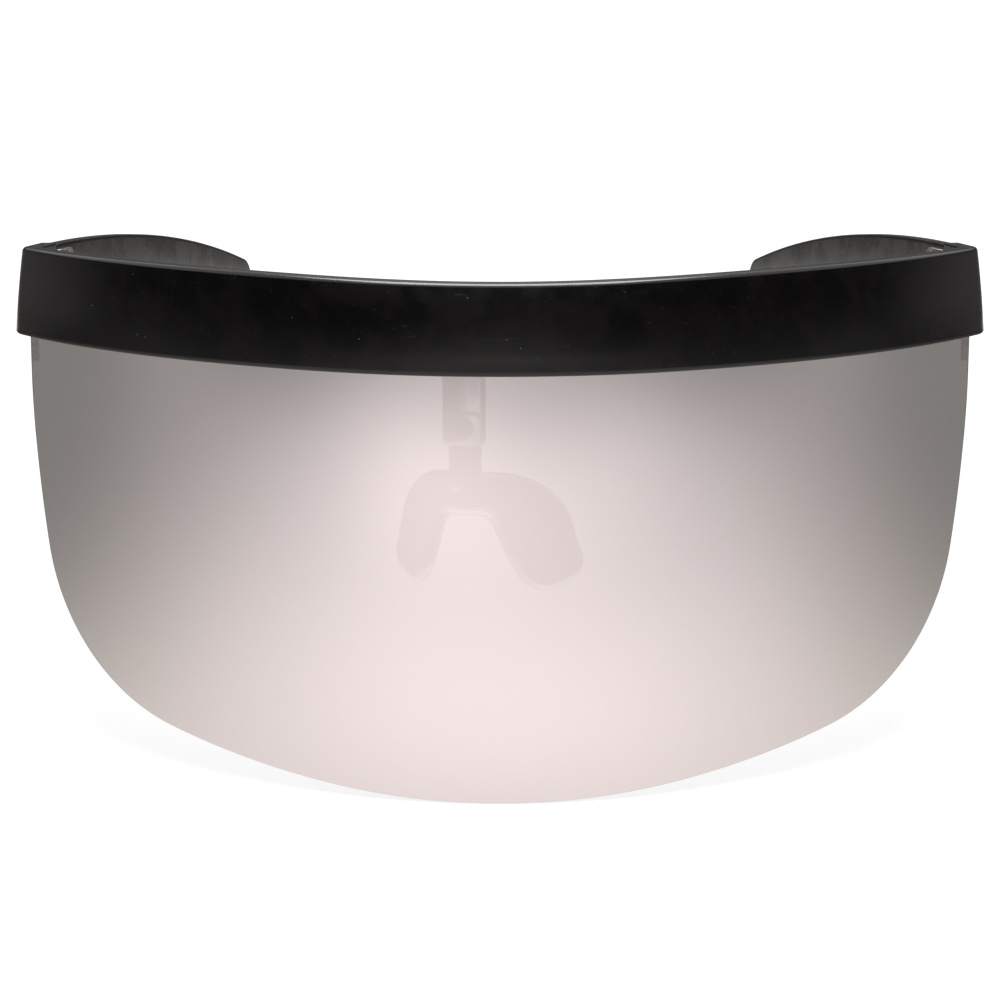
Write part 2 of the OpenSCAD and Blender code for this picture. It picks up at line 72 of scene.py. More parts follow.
def colour(name, description, rgb):
    """A colour that a user may change, as linear red, green and blue."""
    return FloatVectorProperty(
        name=name, description=description, default=rgb, min=0, max=1, subtype="COLOR"
    )


def share(name, description, value, low=0.0, high=1.0):
    """A plain number between low and high."""
    return FloatProperty(
        name=name, description=description, default=value, min=low, max=high
    )


# Sizes and colours


class FrontSizes(PropertyGroup):
    """The bar's outer face seen from above, and the bar's section, as in the part's source."""

    brow_r: size("Middle radius", "Radius of the bar's outer face in the middle", 70)
    brow_turn: angle("Middle turn", "Half of the angle of the middle arc", 23.5)
    side_r: size("Side radius", "Radius of the bar's outer face at each side", 132.5)
    half_w: size("Half width", "Half of the width over the two corners", 85.5)
    corner_r: size("Corner radius", "Radius of each corner of the bar", 6)
    end_l: size("End piece", "Length of the straight end behind each corner", 7.5)
    lean: angle("Lean", "Inward lean of the end pieces and arms", 10.5)
    blend_l: size("Blend", "Length over which one radius runs into the next", 24)
    middle_y: size("Middle", "Distance from the front to the frame's origin", 94.5626)
    bar_h: size("Bar height", "Height of the bar at its sides", 15.3)
    bar_low: size("Bar level", "Height of the bar's lower edge", 70.5)
    flare: size("Flare", "How much further out the lower edge is", 1.7)
    bar_in: size("Bar depth", "Depth of the rear face behind the outer face", 4.1)
    crown: size("Crown", "How far the front face swells between its edges", 0.5)
    face_inset: size("Face inset", "How much the face is drawn in for its crown", 0.085)
    dip: size("Dip", "How much lower the upper edge is in the middle", 0.9)
    dip_w: size("Dip width", "Half width of that dip", 38)
    rise: size("Rise", "How much higher the lower edge is in the middle", -0.2)
    rise_w: size("Rise width", "Half width of that rise", 55)
    brow_round: size("Upper rounding", "Rounding of the front upper edge", 0.75)
    lip_round: size("Lower rounding", "Rounding of the front lower edge", 0.7)
    rear_round: size("Rear rounding", "Rounding of the rear edges", 0.4)
    end_round: size("End rounding", "Rounding of the bar's two ends", 0.25)
    groove_front: size("Groove front", "Depth at which the lens's groove starts", 1.7)
    groove_rear: size("Groove rear", "Depth at which the lens's groove ends", 3.2)
    groove_h: size("Groove height", "Height of the groove in the bar", 12.6)
    groove_half_w: size("Groove end", "Half of the groove's width", 81.9)
    groove_lip: size("Groove rounding", "Rounding of the groove's mouth", 0.15)
    pocket: size("Pocket", "Depth of the hinge leaf's pocket", 0.45)
    pocket_l: size("Pocket length", "Length of that pocket", 6.7)
    pocket_low: size("Pocket level", "Height of that pocket's lower edge", 72.5)
    pocket_h: size("Pocket height", "Height of that pocket", 12)


class LensSizes(PropertyGroup):
    """The lens's outline seen from the front, and its edge."""

    half_w: size("Half width", "Half of the width just under the bar", 83.8)
    side_r: size("Side radius", "Radius of the side edges", 227)
    low_r: size("Lower radius", "Radius of the lower edge", 240)
    foot: size("Foot", "Height of the lowest point above the floor", 0.004)
    corner_r: size("Corner radius", "Radius of the lower corners", 32.4)
    front: size("Front", "Depth of the lens's face behind the bar's outer face", 1.75)
    thick: size("Thickness", "Thickness of the lens", 1.4)
    edge_r: size("Edge rounding", "Rounding of the polished edge", 0.14)
    tab_half_w: size("Tab", "Half of the width of the tab inside the bar", 80.5)
    tab_top: size("Tab top", "Height of the tab's upper edge", 83)


class ArmSizes(PropertyGroup):
    """The arms' outline, in the plane of an arm, and their section."""

    hinge_x: size("Hinge X", "Sideways place of the joint line's corner", 84.0182)
    hinge_y: size("Hinge Y", "Distance of that corner behind the front", 64.4601)
    top: size("Top level", "Height from which the arm's depths are taken", 85.8)
    start: size("Start", "Gap in front of the arm", 0.08)
    face_out: size("Outer face", "Depth of the outer face", 0.85)
    face_in: size("Inner face", "Depth of the inner face", 3.65)
    top_r: size("Upper radius", "Radius of the upper edge", 550)
    top_gap: size("Upper depth", "Depth of the upper edge at the hinge", 0.35)
    low_r: size("Lower radius", "Radius of the lower edge", 368)
    low_at: size("Lower edge at", "Place of the lower edge's highest point", 25.5)
    low_depth: size("Lower depth", "Depth of that point", 14.2)
    tip_at: size("Tip", "Distance of the middle of the tip from the hinge", 121.478)
    tip_depth: size("Tip depth", "Depth of the middle of the tip", 20.4099)
    edge_r: size("Edge rounding", "Rounding of the arm's edges", 0.62)
    crown: size("Crown", "How much each face swells between its edges", 0.03)
    end_round: size("End rounding", "Rounding of the arm's front end", 0.2)


class NoseSizes(PropertyGroup):
    """The clear nose piece behind the lens."""

    stem_s: size("Stem place", "Distance of the stem along the bar", -6.16883)
    lift: size("Lift", "Gap between the bar and the stem", 0.1077)
    stem_w: size("Stem width", "Width of the stem", 6.8)
    stem_t: size("Stem thickness", "Thickness of the stem and the neck", 1.6)
    stem_top: size("Stem top", "Depth of the stem's upper end", 1.3)
    stem_low: size("Stem end", "Depth of the stem's lower end", 27.3)
    seat: size("Seat", "Gap between the stem and the neck", 0.02)
    neck_w: size("Neck width", "Width of the saddle's neck", 5.2)
    neck_top: size("Neck top", "Depth of the neck's upper end", 21.8)
    saddle_depth: size("Crest depth", "Depth of the saddle's crest", 32.2)
    saddle_t: size("Saddle thickness", "Thickness of the saddle", 1.8)
    crest_r: size("Crest radius", "Outer radius of the crest from above", 8)
    sweep: angle("Sweep", "Angle at which the legs sweep back", 42)
    turn: angle("Turn", "Turn of the saddle about its neck", -10)
    crest_w: size("Crest width", "Width of the band at the crest", 6.8)
    leg_w: size("Leg width", "Width of the band at the feet", 8.8)
    shoulder: size("Shoulder", "How much wider the band is between crest and foot", 1.8)
    foot_x: size("Foot place", "Half of the distance between the feet", 11.6)
    foot_z: size("Foot depth", "Depth of the feet below the crest", 16)
    edge_r: size("Edge rounding", "Rounding of the stem's and the neck's edges", 0.3)
    neck_lap: size("Neck lap", "How far the neck runs below the crest", 2.4)
    voxel: size("Skin step", "Step of the skin that joins the neck and saddle", 0.17)


class Finishes(PropertyGroup):
    """Colours of the finishes, linear."""

    black: colour("Black plastic", "Moulded plastic", (0.0014, 0.0012, 0.0012))
    black_warm: colour("Warm black", "Its warmer flow marks", (0.0032, 0.0019, 0.0021))
    dust: colour("Dust", "Specks of dust on the plastic", (0.16, 0.15, 0.145))
    mirror: colour("Mirror coat", "The coat seen square on", (0.927, 0.841, 0.853))
    mirror_side: colour("Mirror, aslant", "The coat at a glance", (0.84, 0.775, 0.72))
    smoke: colour("Smoke", "The lens behind its coat", (0.03, 0.028, 0.028))
    rim: colour("Lens edge", "The polished edge of the lens", (0.2, 0.19, 0.19))
    clear: colour("Clear plastic", "The nose piece", (0.93, 0.945, 0.955))
    nickel: colour("Nickel silver", "The hinges", (0.38, 0.365, 0.345))
    steel: colour("Plated steel", "The screws and the rivet", (0.66, 0.66, 0.67))
    soil: colour("Soil", "What gathers in corners of the metal", (0.09, 0.08, 0.07))
    behind: colour("Coat from behind", "The coat seen through the smoke", (0.05, 0.045, 0.045))


class StageSizes(PropertyGroup):
    """The camera, the light, the floor and what stands round it."""

    aim_z: size("Aim", "Height that the camera looks at", 50.68)
    reach: size("Camera distance", "Distance of the camera from the front", 400)
    pitch: angle("Camera pitch", "How steeply the camera looks down", 10.8)
    lens_mm: share("Focal length", "Focal length of the camera, in mm", 91.008, 1, 500)
    floor: size("Floor", "Width of the floor", 12000)
    white: share("White", "How bright the camera sees the floor", 1.15, 0, 5)
    paint: share("Paint", "How much light the floor sends back", 0.82)
    shadow: share("Shadow", "How much of the shadow the floor shows", 0.3)
    shadow_r: size("Shadow reach", "Distance over which the shadow fades away", 300)
    softbox: share("Softbox", "Power of the box overhead, in watts", 6, 0, 50)
    box_w: size("Softbox width", "Width of that box", 600)
    box_d: size("Softbox depth", "Depth of that box", 420)
    box_up: size("Softbox height", "Height of that box over the floor", 950)
    box_ahead: size("Softbox place", "Distance of that box ahead of the front", 120)
    box_lean: angle("Softbox lean", "How far that box leans back", 10)
    shine: share("Shine", "Strength of the card that gloss sees there", 12, 0, 50)
    card_w: size("Card width", "Width of that card", 980)
    card_d: size("Card depth", "Depth of that card", 750)
    fill: share("Fill", "Strength of the light from all around", 0.42, 0, 2)
    room: size("Room", "Radius of the dark ring round the stage", 2600)
    room_h: size("Room height", "Height of that ring", 1200)


# Meshes from arrays

MERGE = 2e-7  # distance within which a new mesh's doubled points become one
SLIVER = 1e-8  # length below which an edge is taken out
SHARP = math.radians(32)  # angle above which an edge stays sharp
HAIR = 0.01e-3  # half of the length of a step that is nearly upright
TINY = 1e-12  # length below which a vector or a step counts as none


def new_object(name, points, faces):
    """A mesh object in the scene, from an array of points and a list of faces."""
    mesh = bpy.data.meshes.new(name)
    mesh.from_pydata(points.tolist(), [], faces)
    obj = bpy.data.objects.new(name, mesh)
    bpy.context.scene.collection.objects.link(obj)
    return obj


def put_mesh(name, points, faces, slots=None, caps=()):
    """One mesh object from an array of points in metres and an array of four-cornered faces.
    Doubled points are merged, then the faces are turned outwards: the volume, the sum over
    all triangles of a . (b x c) / 6, has to be positive."""
    obj = new_object(name, points, faces.tolist() + list(caps))
    mesh = obj.data
    if slots is not None:
        mesh.polygons.foreach_set("material_index", slots)
    bm = bmesh.new()
    bm.from_mesh(mesh)
    bmesh.ops.remove_doubles(bm, verts=bm.verts, dist=MERGE)
    bmesh.ops.dissolve_degenerate(bm, edges=bm.edges, dist=SLIVER)
    if bm.calc_volume(signed=True) < 0:
        bmesh.ops.reverse_faces(bm, faces=bm.faces)
    bm.to_mesh(mesh)
    bm.free()
    mesh.polygons.foreach_set("use_smooth", np.ones(len(mesh.polygons), dtype=bool))
    mesh.set_sharp_from_angle(angle=SHARP)
    mesh.update()
    return obj


def grid_faces(rows, cols, closed=True):
    """Faces of a grid of rows by cols points. Where closed, the last column meets the first."""
    r = np.arange(rows - 1)[:, None]
    c = np.arange(cols if closed else cols - 1)[None, :]
    d = (c + 1) % cols
    quads = [r * cols + c, r * cols + d, (r + 1) * cols + d, (r + 1) * cols + c]
    return np.stack(quads, axis=-1).reshape(-1, 4)


def end_caps(rows, cols):
    """The two faces that close such a grid's first and last rows."""
    return [list(range(cols))[::-1], list(range((rows - 1) * cols, rows * cols))]


def unit(v):
    """v / |v| along the last axis."""
    return v / np.maximum(np.linalg.norm(v, axis=-1, keepdims=True), TINY)


def arc_points(a):
    """(cos a, sin a) along a new last axis."""
    return np.stack([np.cos(a), np.sin(a)], -1)


def smooth_step(t):
    """t^2 (3 - 2t), with t held between 0 and 1."""
    t = np.clip(t, 0, 1)
    return t * t * (3 - 2 * t)


def quarter(r, n=6):
    """A quarter circle between two flats in n points: how far each is drawn in from one,
    r (1 - sin q), and from the other, r (1 - cos q)."""
    q = np.linspace(0, math.pi / 2, n)
    return r * (1 - np.sin(q)), r * (1 - np.cos(q))


def sheet_edge(r, thick, n=6):
    """The edge of a sheet, with a quarter circle at each of its faces: how far its 2n points
    are drawn in, and their depths."""
    inset, depth = quarter(r, n)
    return np.concatenate([inset, inset[::-1]]), np.concatenate([depth, thick - depth[::-1]])


def filleted(corners, radii, steps=6):
    """A closed outline with an arc in each corner. An arc of radius r at a corner whose half
    angle is h starts r / tan h from it, and its centre lies r / sin h along the bisector.
    Each arc has one more point a little outside both of its ends, which keeps flats flat."""
    beyond = 0.05e-3
    out = []
    for i, (p, r) in enumerate(zip(corners, radii)):
        if r <= 0:
            out.append(p[None, :])
            continue
        u, v = unit(corners[i - 1] - p), unit(corners[(i + 1) % len(corners)] - p)
        half = math.acos(float(np.clip(u @ v, -1, 1))) / 2
        centre = p + unit(u + v) * r / math.sin(half)
        start, end = p + u * r / math.tan(half), p + v * r / math.tan(half)
        t0 = math.atan2(*(start - centre)[::-1])
        t1 = math.atan2(*(end - centre)[::-1])
        turn = (t1 - t0 + math.pi) % (2 * math.pi) - math.pi
        arc = centre + r * arc_points(t0 + turn * np.linspace(0, 1, steps + 1))
        out.append(np.concatenate([[start + u * beyond], arc, [end + v * beyond]]))
    return np.concatenate(out)


def outward(loop):
    """Outward normals of a closed loop that runs counterclockwise: the mean of the normals of
    its two edges, (dy, -dx) for an edge (dx, dy)."""
    edge = unit(np.roll(loop, -1, axis=0) - loop)
    normal = np.stack([edge[:, 1], -edge[:, 0]], -1)
    return unit(normal + np.roll(normal, 1, axis=0))


# The line that the front follows


class FrontLine:
    """The bar's outer face seen from above. The angle of the face is the integral of its
    curvature along it. The curvature is 1/R on each arc, and runs from one R to the next on
    a smooth step over blend_l, so that the mirror shows no seam."""

    samples = 24001

    def __init__(self, s):
        r, big, small = s.brow_r, s.side_r, s.corner_r
        turn = s.brow_turn
        c1 = np.array([0, r]) + (r - big) * np.array([math.sin(turn), -math.cos(turn)])
        side_turn = math.asin((s.half_w - small - c1[0]) / (big - small))
        end_turn = math.pi / 2 + s.lean
        s1 = r * turn
        s2 = s1 + big * (side_turn - turn)
        s3 = s2 + small * (end_turn - side_turn)
        self.total = s3 + s.end_l
        self.corner_s, self.end_s = s2, s3
        at = np.linspace(0, self.total, self.samples)
        blend = smooth_step((at - s1) / s.blend_l + 0.5)
        bend = 1 / r + (1 / big - 1 / r) * blend
        bend = np.where(at > s2, 1 / small, bend)
        bend = np.where(at > s3, 0, bend)
        step = at[1]
        theta = np.concatenate([[0], np.cumsum((bend[1:] + bend[:-1]) / 2) * step])
        theta *= end_turn / theta[-1]
        mid = (theta[1:] + theta[:-1]) / 2
        x = np.concatenate([[0], np.cumsum(np.cos(mid)) * step])
        y = np.concatenate([[0], np.cumsum(np.sin(mid)) * step])
        # The blend ends a little off the side arc, so the line is eased over to it.
        far = s1 + s.blend_l / 2
        a = turn + (far - s1) / big
        exact = c1 + big * np.array([math.sin(a), -math.cos(a)])
        slip = exact - [np.interp(far, at, x), np.interp(far, at, y)]
        eased = smooth_step(at / far)
        self.at, self.theta = at, theta
        self.x, self.y = x + slip[0] * eased, y + slip[1] * eased
        self.middle_y = s.middle_y

    def place(self, s, out):
        """Points at distance s along the face and out beyond it: P(s) + out (sin, -cos)."""
        s = np.asarray(s, float)
        side = np.where(s < 0, -1.0, 1.0)
        a = np.interp(np.abs(s), self.at, self.theta)
        x = np.interp(np.abs(s), self.at, self.x) + out * np.sin(a)
        y = np.interp(np.abs(s), self.at, self.y) - out * np.cos(a)
        return side * x, y - self.middle_y

    def find(self, x, out):
        """The distance s at which the face, moved out, is at x."""
        px, _ = self.place(self.at, out)
        keep = np.concatenate([[True], np.diff(np.maximum.accumulate(px)) > TINY])
        return np.sign(x) * np.interp(np.abs(x), px[keep], self.at[keep])


# Brow bar


def bar_loop(s, groove, pocket):
    """The bar's closed section, as offsets out and heights, with its corners rounded. The lens's
    groove may have no height and the hinge pocket no depth, but the count of points is
    always the same. The front face has more points up its height for its crown."""
    half, h = s.flare / 2, s.bar_h
    crown_rows = 10
    step = 2 * HAIR
    low = s.pocket_low - s.bar_low
    top = low + s.pocket_h
    floor = -s.bar_in + pocket
    corners = np.array(
        [
            [half, 0],
            [-half, h],
            [-s.bar_in, h],
            [-s.bar_in, top + step],
            [floor, top - step],
            [floor, low + step],
            [-s.bar_in, low - step],
            [-s.bar_in, 0],
            [-s.groove_rear, 0],
            [-s.groove_rear, s.groove_h],
            [-s.groove_front, s.groove_h],
            [-s.groove_front, 0],
        ]
    )
    radii = [s.lip_round, s.brow_round, s.rear_round, 0, 0, 0, 0, s.rear_round]
    radii += [s.groove_lip, 0, 0, s.groove_lip]
    loop = filleted(corners, radii)
    first = 9  # the points of the first corner, after which the front face rises
    start, end = loop[first - 1], loop[first]
    rise = start + (end - start) * np.linspace(0, 1, crown_rows + 2)[1:-1, None]
    loop = np.concatenate([loop[:first], rise, loop[first:]])
    off = abs(loop[:, 0] + (s.groove_rear + s.groove_front) / 2)
    mouth = 1.5 * s.groove_lip  # reaches past the mouth's rounding
    inner = off < (s.groove_rear - s.groove_front) / 2 + mouth
    loop[inner & (loop[:, 1] < s.groove_h + step), 1] *= groove
    return loop


def build_brow_bar(s):
    """The section carried along the front line. The front face is the straight line between its
    two edges plus 4 crown t (1 - t), with t the share of the height, and the crown fades to
    side_share of itself at the corners. The upper edge dips by dip exp(-(x / dip_w)^2) and the
    lower edge rises in the same way. The groove for the lens ends short of the corners, the
    hinge pocket is cut into the rear of each end, and both ends are rounded on a quarter
    circle and closed."""
    side_share = 0.25
    line = FrontLine(s)
    groove_s = float(line.find(np.array([s.groove_half_w]), -s.groove_front)[0])
    pocket_s = line.total - s.pocket_l
    face, corner, end = 150, 24, 12  # places along each run
    half = np.concatenate(
        [
            np.linspace(0, line.corner_s, face),
            np.linspace(line.corner_s, line.end_s, corner),
            np.linspace(line.end_s, line.total - s.end_round, end),
            line.total - quarter(s.end_round)[0],
            [groove_s - HAIR, groove_s + HAIR, pocket_s - HAIR, pocket_s + HAIR],
        ]
    )
    half = np.unique(np.round(half, 8))
    at = np.concatenate([-half[:0:-1], half])
    far = np.abs(at)
    into = np.clip((far - line.total) / s.end_round + 1, 0, 1)
    inset = s.end_round * (1 - np.sqrt(1 - into**2))
    kind = np.where(far < groove_s, 0, np.where(far < pocket_s, 1, 2))
    table = np.stack([bar_loop(s, 1, 0), bar_loop(s, 0, 0), bar_loop(s, 0, s.pocket)])
    normals = np.stack([outward(loop) for loop in table])
    t = np.clip(table[..., 1] / s.bar_h, 0, 1)
    face_out = s.flare / 2 * (1 - 2 * t)
    near = np.clip(1 - (face_out - table[..., 0]) / s.brow_round, 0, 1)
    swell = (4 * s.crown * t * (1 - t) * near)[kind]
    sink = (s.face_inset * near)[kind]
    fade = 1 - (1 - side_share) * smooth_step(2 * far / line.corner_s - 1)
    loops = table[kind] - normals[kind] * inset[:, None, None]
    loops[..., 0] += swell * fade[:, None] - sink
    x, y = line.place(at[:, None], loops[..., 0])
    fall = s.dip * np.exp(-((x / s.dip_w) ** 2))
    lift = s.rise * np.exp(-((x / s.rise_w) ** 2))
    z = s.bar_low + lift + loops[..., 1] * (s.bar_h - fall - lift) / s.bar_h
    points = np.stack([x, y, z], -1).reshape(-1, 3)
    grid = loops.shape[:2]
    return put_mesh("brow_bar_shell", points, grid_faces(*grid), caps=end_caps(*grid))


# Lens


def crossing(a, ra, b, rb, near):
    """The one of two circles' crossings whose first coordinate is nearer to near: the foot of
    the common chord lies (ra^2 - rb^2 + d^2) / 2d from the first centre."""
    gap = b - a
    d = np.linalg.norm(gap)
    along = (ra * ra - rb * rb + d * d) / (2 * d)
    aside = math.sqrt(ra * ra - along * along)
    foot = a + gap * along / d
    turn = np.array([-gap[1], gap[0]]) * aside / d
    return min((foot + turn, foot - turn), key=lambda p: abs(p[0] - near))


def lens_outline(s, top):
    """The lens's outline from the top of one side edge round to the other, and its outward
    normals: a lower arc, and on each side a corner arc and a side arc that run into it."""
    low_c = np.array([0, s.low_r + s.foot])
    side_c = np.array([s.half_w - s.side_r, top])
    blend_c = crossing(
        low_c, s.low_r - s.corner_r, side_c, s.side_r - s.corner_r, s.half_w
    )
    u, v = unit(blend_c - low_c), unit(blend_c - side_c)
    a0, a1 = math.atan2(u[1], u[0]), math.atan2(v[1], v[0])
    runs = [
        (low_c, s.low_r, -math.pi / 2, a0, 100),
        (blend_c, s.corner_r, a0, a1, 90),
        (side_c, s.side_r, a1, 0, 60),
    ]
    points, normals = [], []
    for c, r, t0, t1, n in runs:
        skip = 1 if points else 0
        normals.append(arc_points(np.linspace(t0, t1, n + 1)[skip:]))
        points.append(c + r * normals[-1])
    halves = np.concatenate(points), np.concatenate(normals)
    return [np.concatenate([half[:0:-1] * [-1, 1], half]) for half in halves]


def build_lens(s, front):
    """The bent sheet. Each column stands at one distance along the front line, so the
    mirror's strips are truly flat upwards. It runs from the outline up to just under the
    bar or, at the tab, to tab_top. The column's loop goes down the front, round the edge on
    a quarter circle of edge_r, along the edge, round again and up the rear."""
    line = FrontLine(front)
    bar_gap = 0.05e-3
    shelf = front.bar_low - bar_gap
    edge, normal = lens_outline(s, shelf)
    at = line.find(edge[:, 0], -s.front)
    # The tab's two upright sides take the place of the columns nearest to them.
    tab = np.interp(s.tab_half_w, edge[:, 0], at)
    keep = np.abs(np.abs(at) - tab) > 10 * HAIR
    sides = np.array([-tab - HAIR, -tab + HAIR, tab - HAIR, tab + HAIR])
    merged = np.concatenate([at[keep], sides])
    order = np.argsort(merged)

    def with_sides(values):
        return np.concatenate([values[keep], np.interp(sides, at, values)])[order]

    edge_z, nx, nz = map(with_sides, (edge[:, 1], normal[:, 0], normal[:, 1]))
    at = merged[order]
    top = np.where(np.abs(at) < tab, s.tab_top, shelf)
    inset, depth = sheet_edge(s.edge_r, s.thick)
    rim_at = at[:, None] - inset * nx[:, None]
    rim_z = np.minimum(edge_z[:, None] - inset * nz[:, None], top[:, None])
    # Points up each face stand closer near the rim, and the first lies right above it.
    face_rows, crowding, first_share = 21, 1.3, 0.004
    up = np.linspace(0, 1, face_rows + 1)[1:] ** crowding
    up = np.insert(up, 0, first_share)
    rise = rim_z[:, :1] + (top[:, None] - rim_z[:, :1]) * up
    n = len(up)
    face_at = np.repeat(rim_at[:, :1], n, 1)
    loop_at = np.concatenate([face_at, rim_at, face_at], 1)
    loop_z = np.concatenate([rise[:, ::-1], rim_z, rise], 1)
    loop_depth = np.concatenate([np.zeros(n), depth, np.full(n, s.thick)])
    x, y = line.place(loop_at, -s.front - loop_depth)
    points = np.stack([x, y, loop_z], -1).reshape(-1, 3)
    rows, cols = loop_at.shape
    # Slots round a column: coat down to the edge's first corner, edge, rear, and edge on top.
    k = np.tile(np.arange(cols), rows - 1)
    coat_end, edge_end = n + len(depth) // 2 - 1, n + len(depth) - 1
    slots = np.where(k < coat_end, 0, np.where(k < edge_end, 1, 2))
    slots = np.where(k == cols - 1, 1, slots).astype(np.int32)
    return put_mesh("mirror_lens", points, grid_faces(rows, cols), slots=slots)


# Arms


def arm_edges(s):
    """The arm's upper and lower edges as pairs of points in the arm's plane, with outward
    normals: two arcs of large radius that run into the tip's circle, and the tip's two
    quarters, which meet in one point."""
    top_c = np.array([0, -s.top_gap - s.top_r])
    low_c = np.array([s.low_at, -s.low_depth - s.low_r])
    tip_c = np.array([s.tip_at, -s.tip_depth])
    tip_r = s.top_r - np.linalg.norm(tip_c - top_c)
    up, down = unit(tip_c - top_c), unit(low_c - tip_c)
    a_up, a_down = math.atan2(up[1], up[0]), math.atan2(down[1], down[0])
    a_mid = (a_up + a_down) / 2
    along, round_tip, crowding = 90, 24, 1.2  # points on each arc, closer at the very tip
    t = np.linspace(math.asin(s.start / s.top_r), math.pi / 2 - a_up, along)
    n_top = arc_points(t)[:, ::-1]
    touch = tip_c + tip_r * down - low_c
    u0 = math.asin((s.start - low_c[0]) / s.low_r)
    n_low = arc_points(np.linspace(u0, math.atan2(*touch), along))[:, ::-1]
    v = 1 - (1 - np.linspace(0, 1, round_tip + 1)[1:]) ** crowding
    tip_top, tip_low = (arc_points(a + (a_mid - a) * v) for a in (a_up, a_down))
    top = np.concatenate([top_c + s.top_r * n_top, tip_c + tip_r * tip_top])
    low = np.concatenate([low_c + s.low_r * n_low, tip_c + tip_r * tip_low])
    n_low = np.concatenate([-n_low, tip_low])
    return top, np.concatenate([n_top, tip_top]), low, n_low


def build_arm(s, front, side, name):
    """The arm's faces are grids between its two edges, swelling by crown (1 - (2v - 1)^2). Round
    each edge the section follows a quarter circle, a flat and a quarter circle, and
    the front end is drawn in on a quarter circle of end_round and closed."""
    top, n_top, low, n_low = arm_edges(s)
    half = (s.face_in - s.face_out) / 2
    inset, depth = quarter(s.edge_r)
    inset = np.concatenate([inset, inset[::-1]])
    depth = half - s.crown - depth
    depth = np.concatenate([depth, -depth[::-1]])
    rim_share, rows = 0.008, 11  # the first point up a face, and the points between
    v = np.linspace(0, 1, rows + 2)[1:-1]
    v = np.concatenate([[rim_share], v, [1 - rim_share]])
    swell = half - s.crown + s.crown * (1 - (2 * v - 1) ** 2)
    drawn_in, back_in = quarter(s.end_round)
    lead = len(drawn_in)
    row = np.concatenate([np.zeros(lead, dtype=int), np.arange(1, len(top))])
    grow = np.zeros(len(row))
    grow[:lead] = drawn_in
    drawn = (inset[None, :] + grow[:, None])[..., None]
    t_rim = top[row][:, None] - n_top[row][:, None] * drawn
    l_rim = low[row][:, None] - n_low[row][:, None] * drawn
    face = l_rim[:, :1] + (t_rim[:, :1] - l_rim[:, :1]) * v[None, :, None]
    flat = np.concatenate([face, t_rim, face[:, ::-1], l_rim[:, ::-1]], 1)
    flat[:lead, :, 0] = s.start + back_in[:, None]
    deep = np.concatenate([swell, depth, -swell[::-1], depth[::-1]])
    room = half - s.crown * (grow > 0) - grow
    deep = np.clip(deep[None, :], -room[:, None], room[:, None])
    out = deep - (s.face_out + s.face_in) / 2
    back = flat[..., 0]
    sin, cos = math.sin(front.lean), math.cos(front.lean)
    x = s.hinge_x + out * cos - back * sin
    y = s.hinge_y + out * sin + back * cos - front.middle_y
    points = np.stack([side * x, y, s.top + flat[..., 1]], -1).reshape(-1, 3)
    grid = flat.shape[:2]
    return put_mesh(name, points, grid_faces(*grid), caps=end_caps(*grid)[:1])


# Nose piece


def at_stem(s, front, p):
    """Points of the stem's own frame, which are sideways, rearward and up, in the whole's."""
    line = FrontLine(front)
    x0, y0 = line.place(np.array([s.stem_s]), -front.bar_in - s.lift)
    a = math.copysign(float(np.interp(abs(s.stem_s), line.at, line.theta)), s.stem_s)
    origin = np.array([x0[0], y0[0], front.bar_low + front.bar_h])
    side = np.array([math.cos(a), math.sin(a), 0])
    rear = np.array([-math.sin(a), math.cos(a), 0])
    return origin + p[:, :1] * side + p[:, 1:2] * rear + p[:, 2:] * [0, 0, 1]


def slab(outline, thick, edge_r):
    """A plate: rings of its outline, drawn in on a quarter circle of edge_r near both faces, with
    both faces closed. Returns points (x, depth, z), faces and caps."""
    inset, depth = sheet_edge(edge_r, thick, 5)
    flat = outline[None] - outward(outline)[None] * inset[:, None, None]
    grid = flat.shape[:2]
    deep = np.broadcast_to(depth[:, None], grid)
    points = np.stack([flat[..., 0], deep, flat[..., 1]], -1).reshape(-1, 3)
    return points, grid_faces(*grid), end_caps(*grid)


def plate_outline(half_w, low, top, r):
    """A rectangle with rounded corners, counterclockwise."""
    corners = np.array([[-half_w, low], [half_w, low], [half_w, top], [-half_w, top]])
    return filleted(corners, [r] * 4)


def build_stem(s, front):
    """The tongue that hangs behind the lens: one plate with rounded corners and edges."""
    corner = s.stem_w / 6
    outline = plate_outline(s.stem_w / 2, -s.stem_low, -s.stem_top, corner)
    points, faces, caps = slab(outline, s.stem_t, s.edge_r)
    return put_mesh("nose_stem_clear", at_stem(s, front, points), faces, caps=caps)


def smooth_line(points, rounds):
    """A line with its corners cut again and again, at a quarter and three quarters of each
    of its sides, which tends to a quadratic B-spline."""
    for _ in range(rounds):
        a, b = points[:-1], points[1:]
        cut = np.stack([a * 0.75 + b * 0.25, a * 0.25 + b * 0.75], 1).reshape(-1, 2)
        points = np.concatenate([points[:1], cut, points[-1:]])
    return points


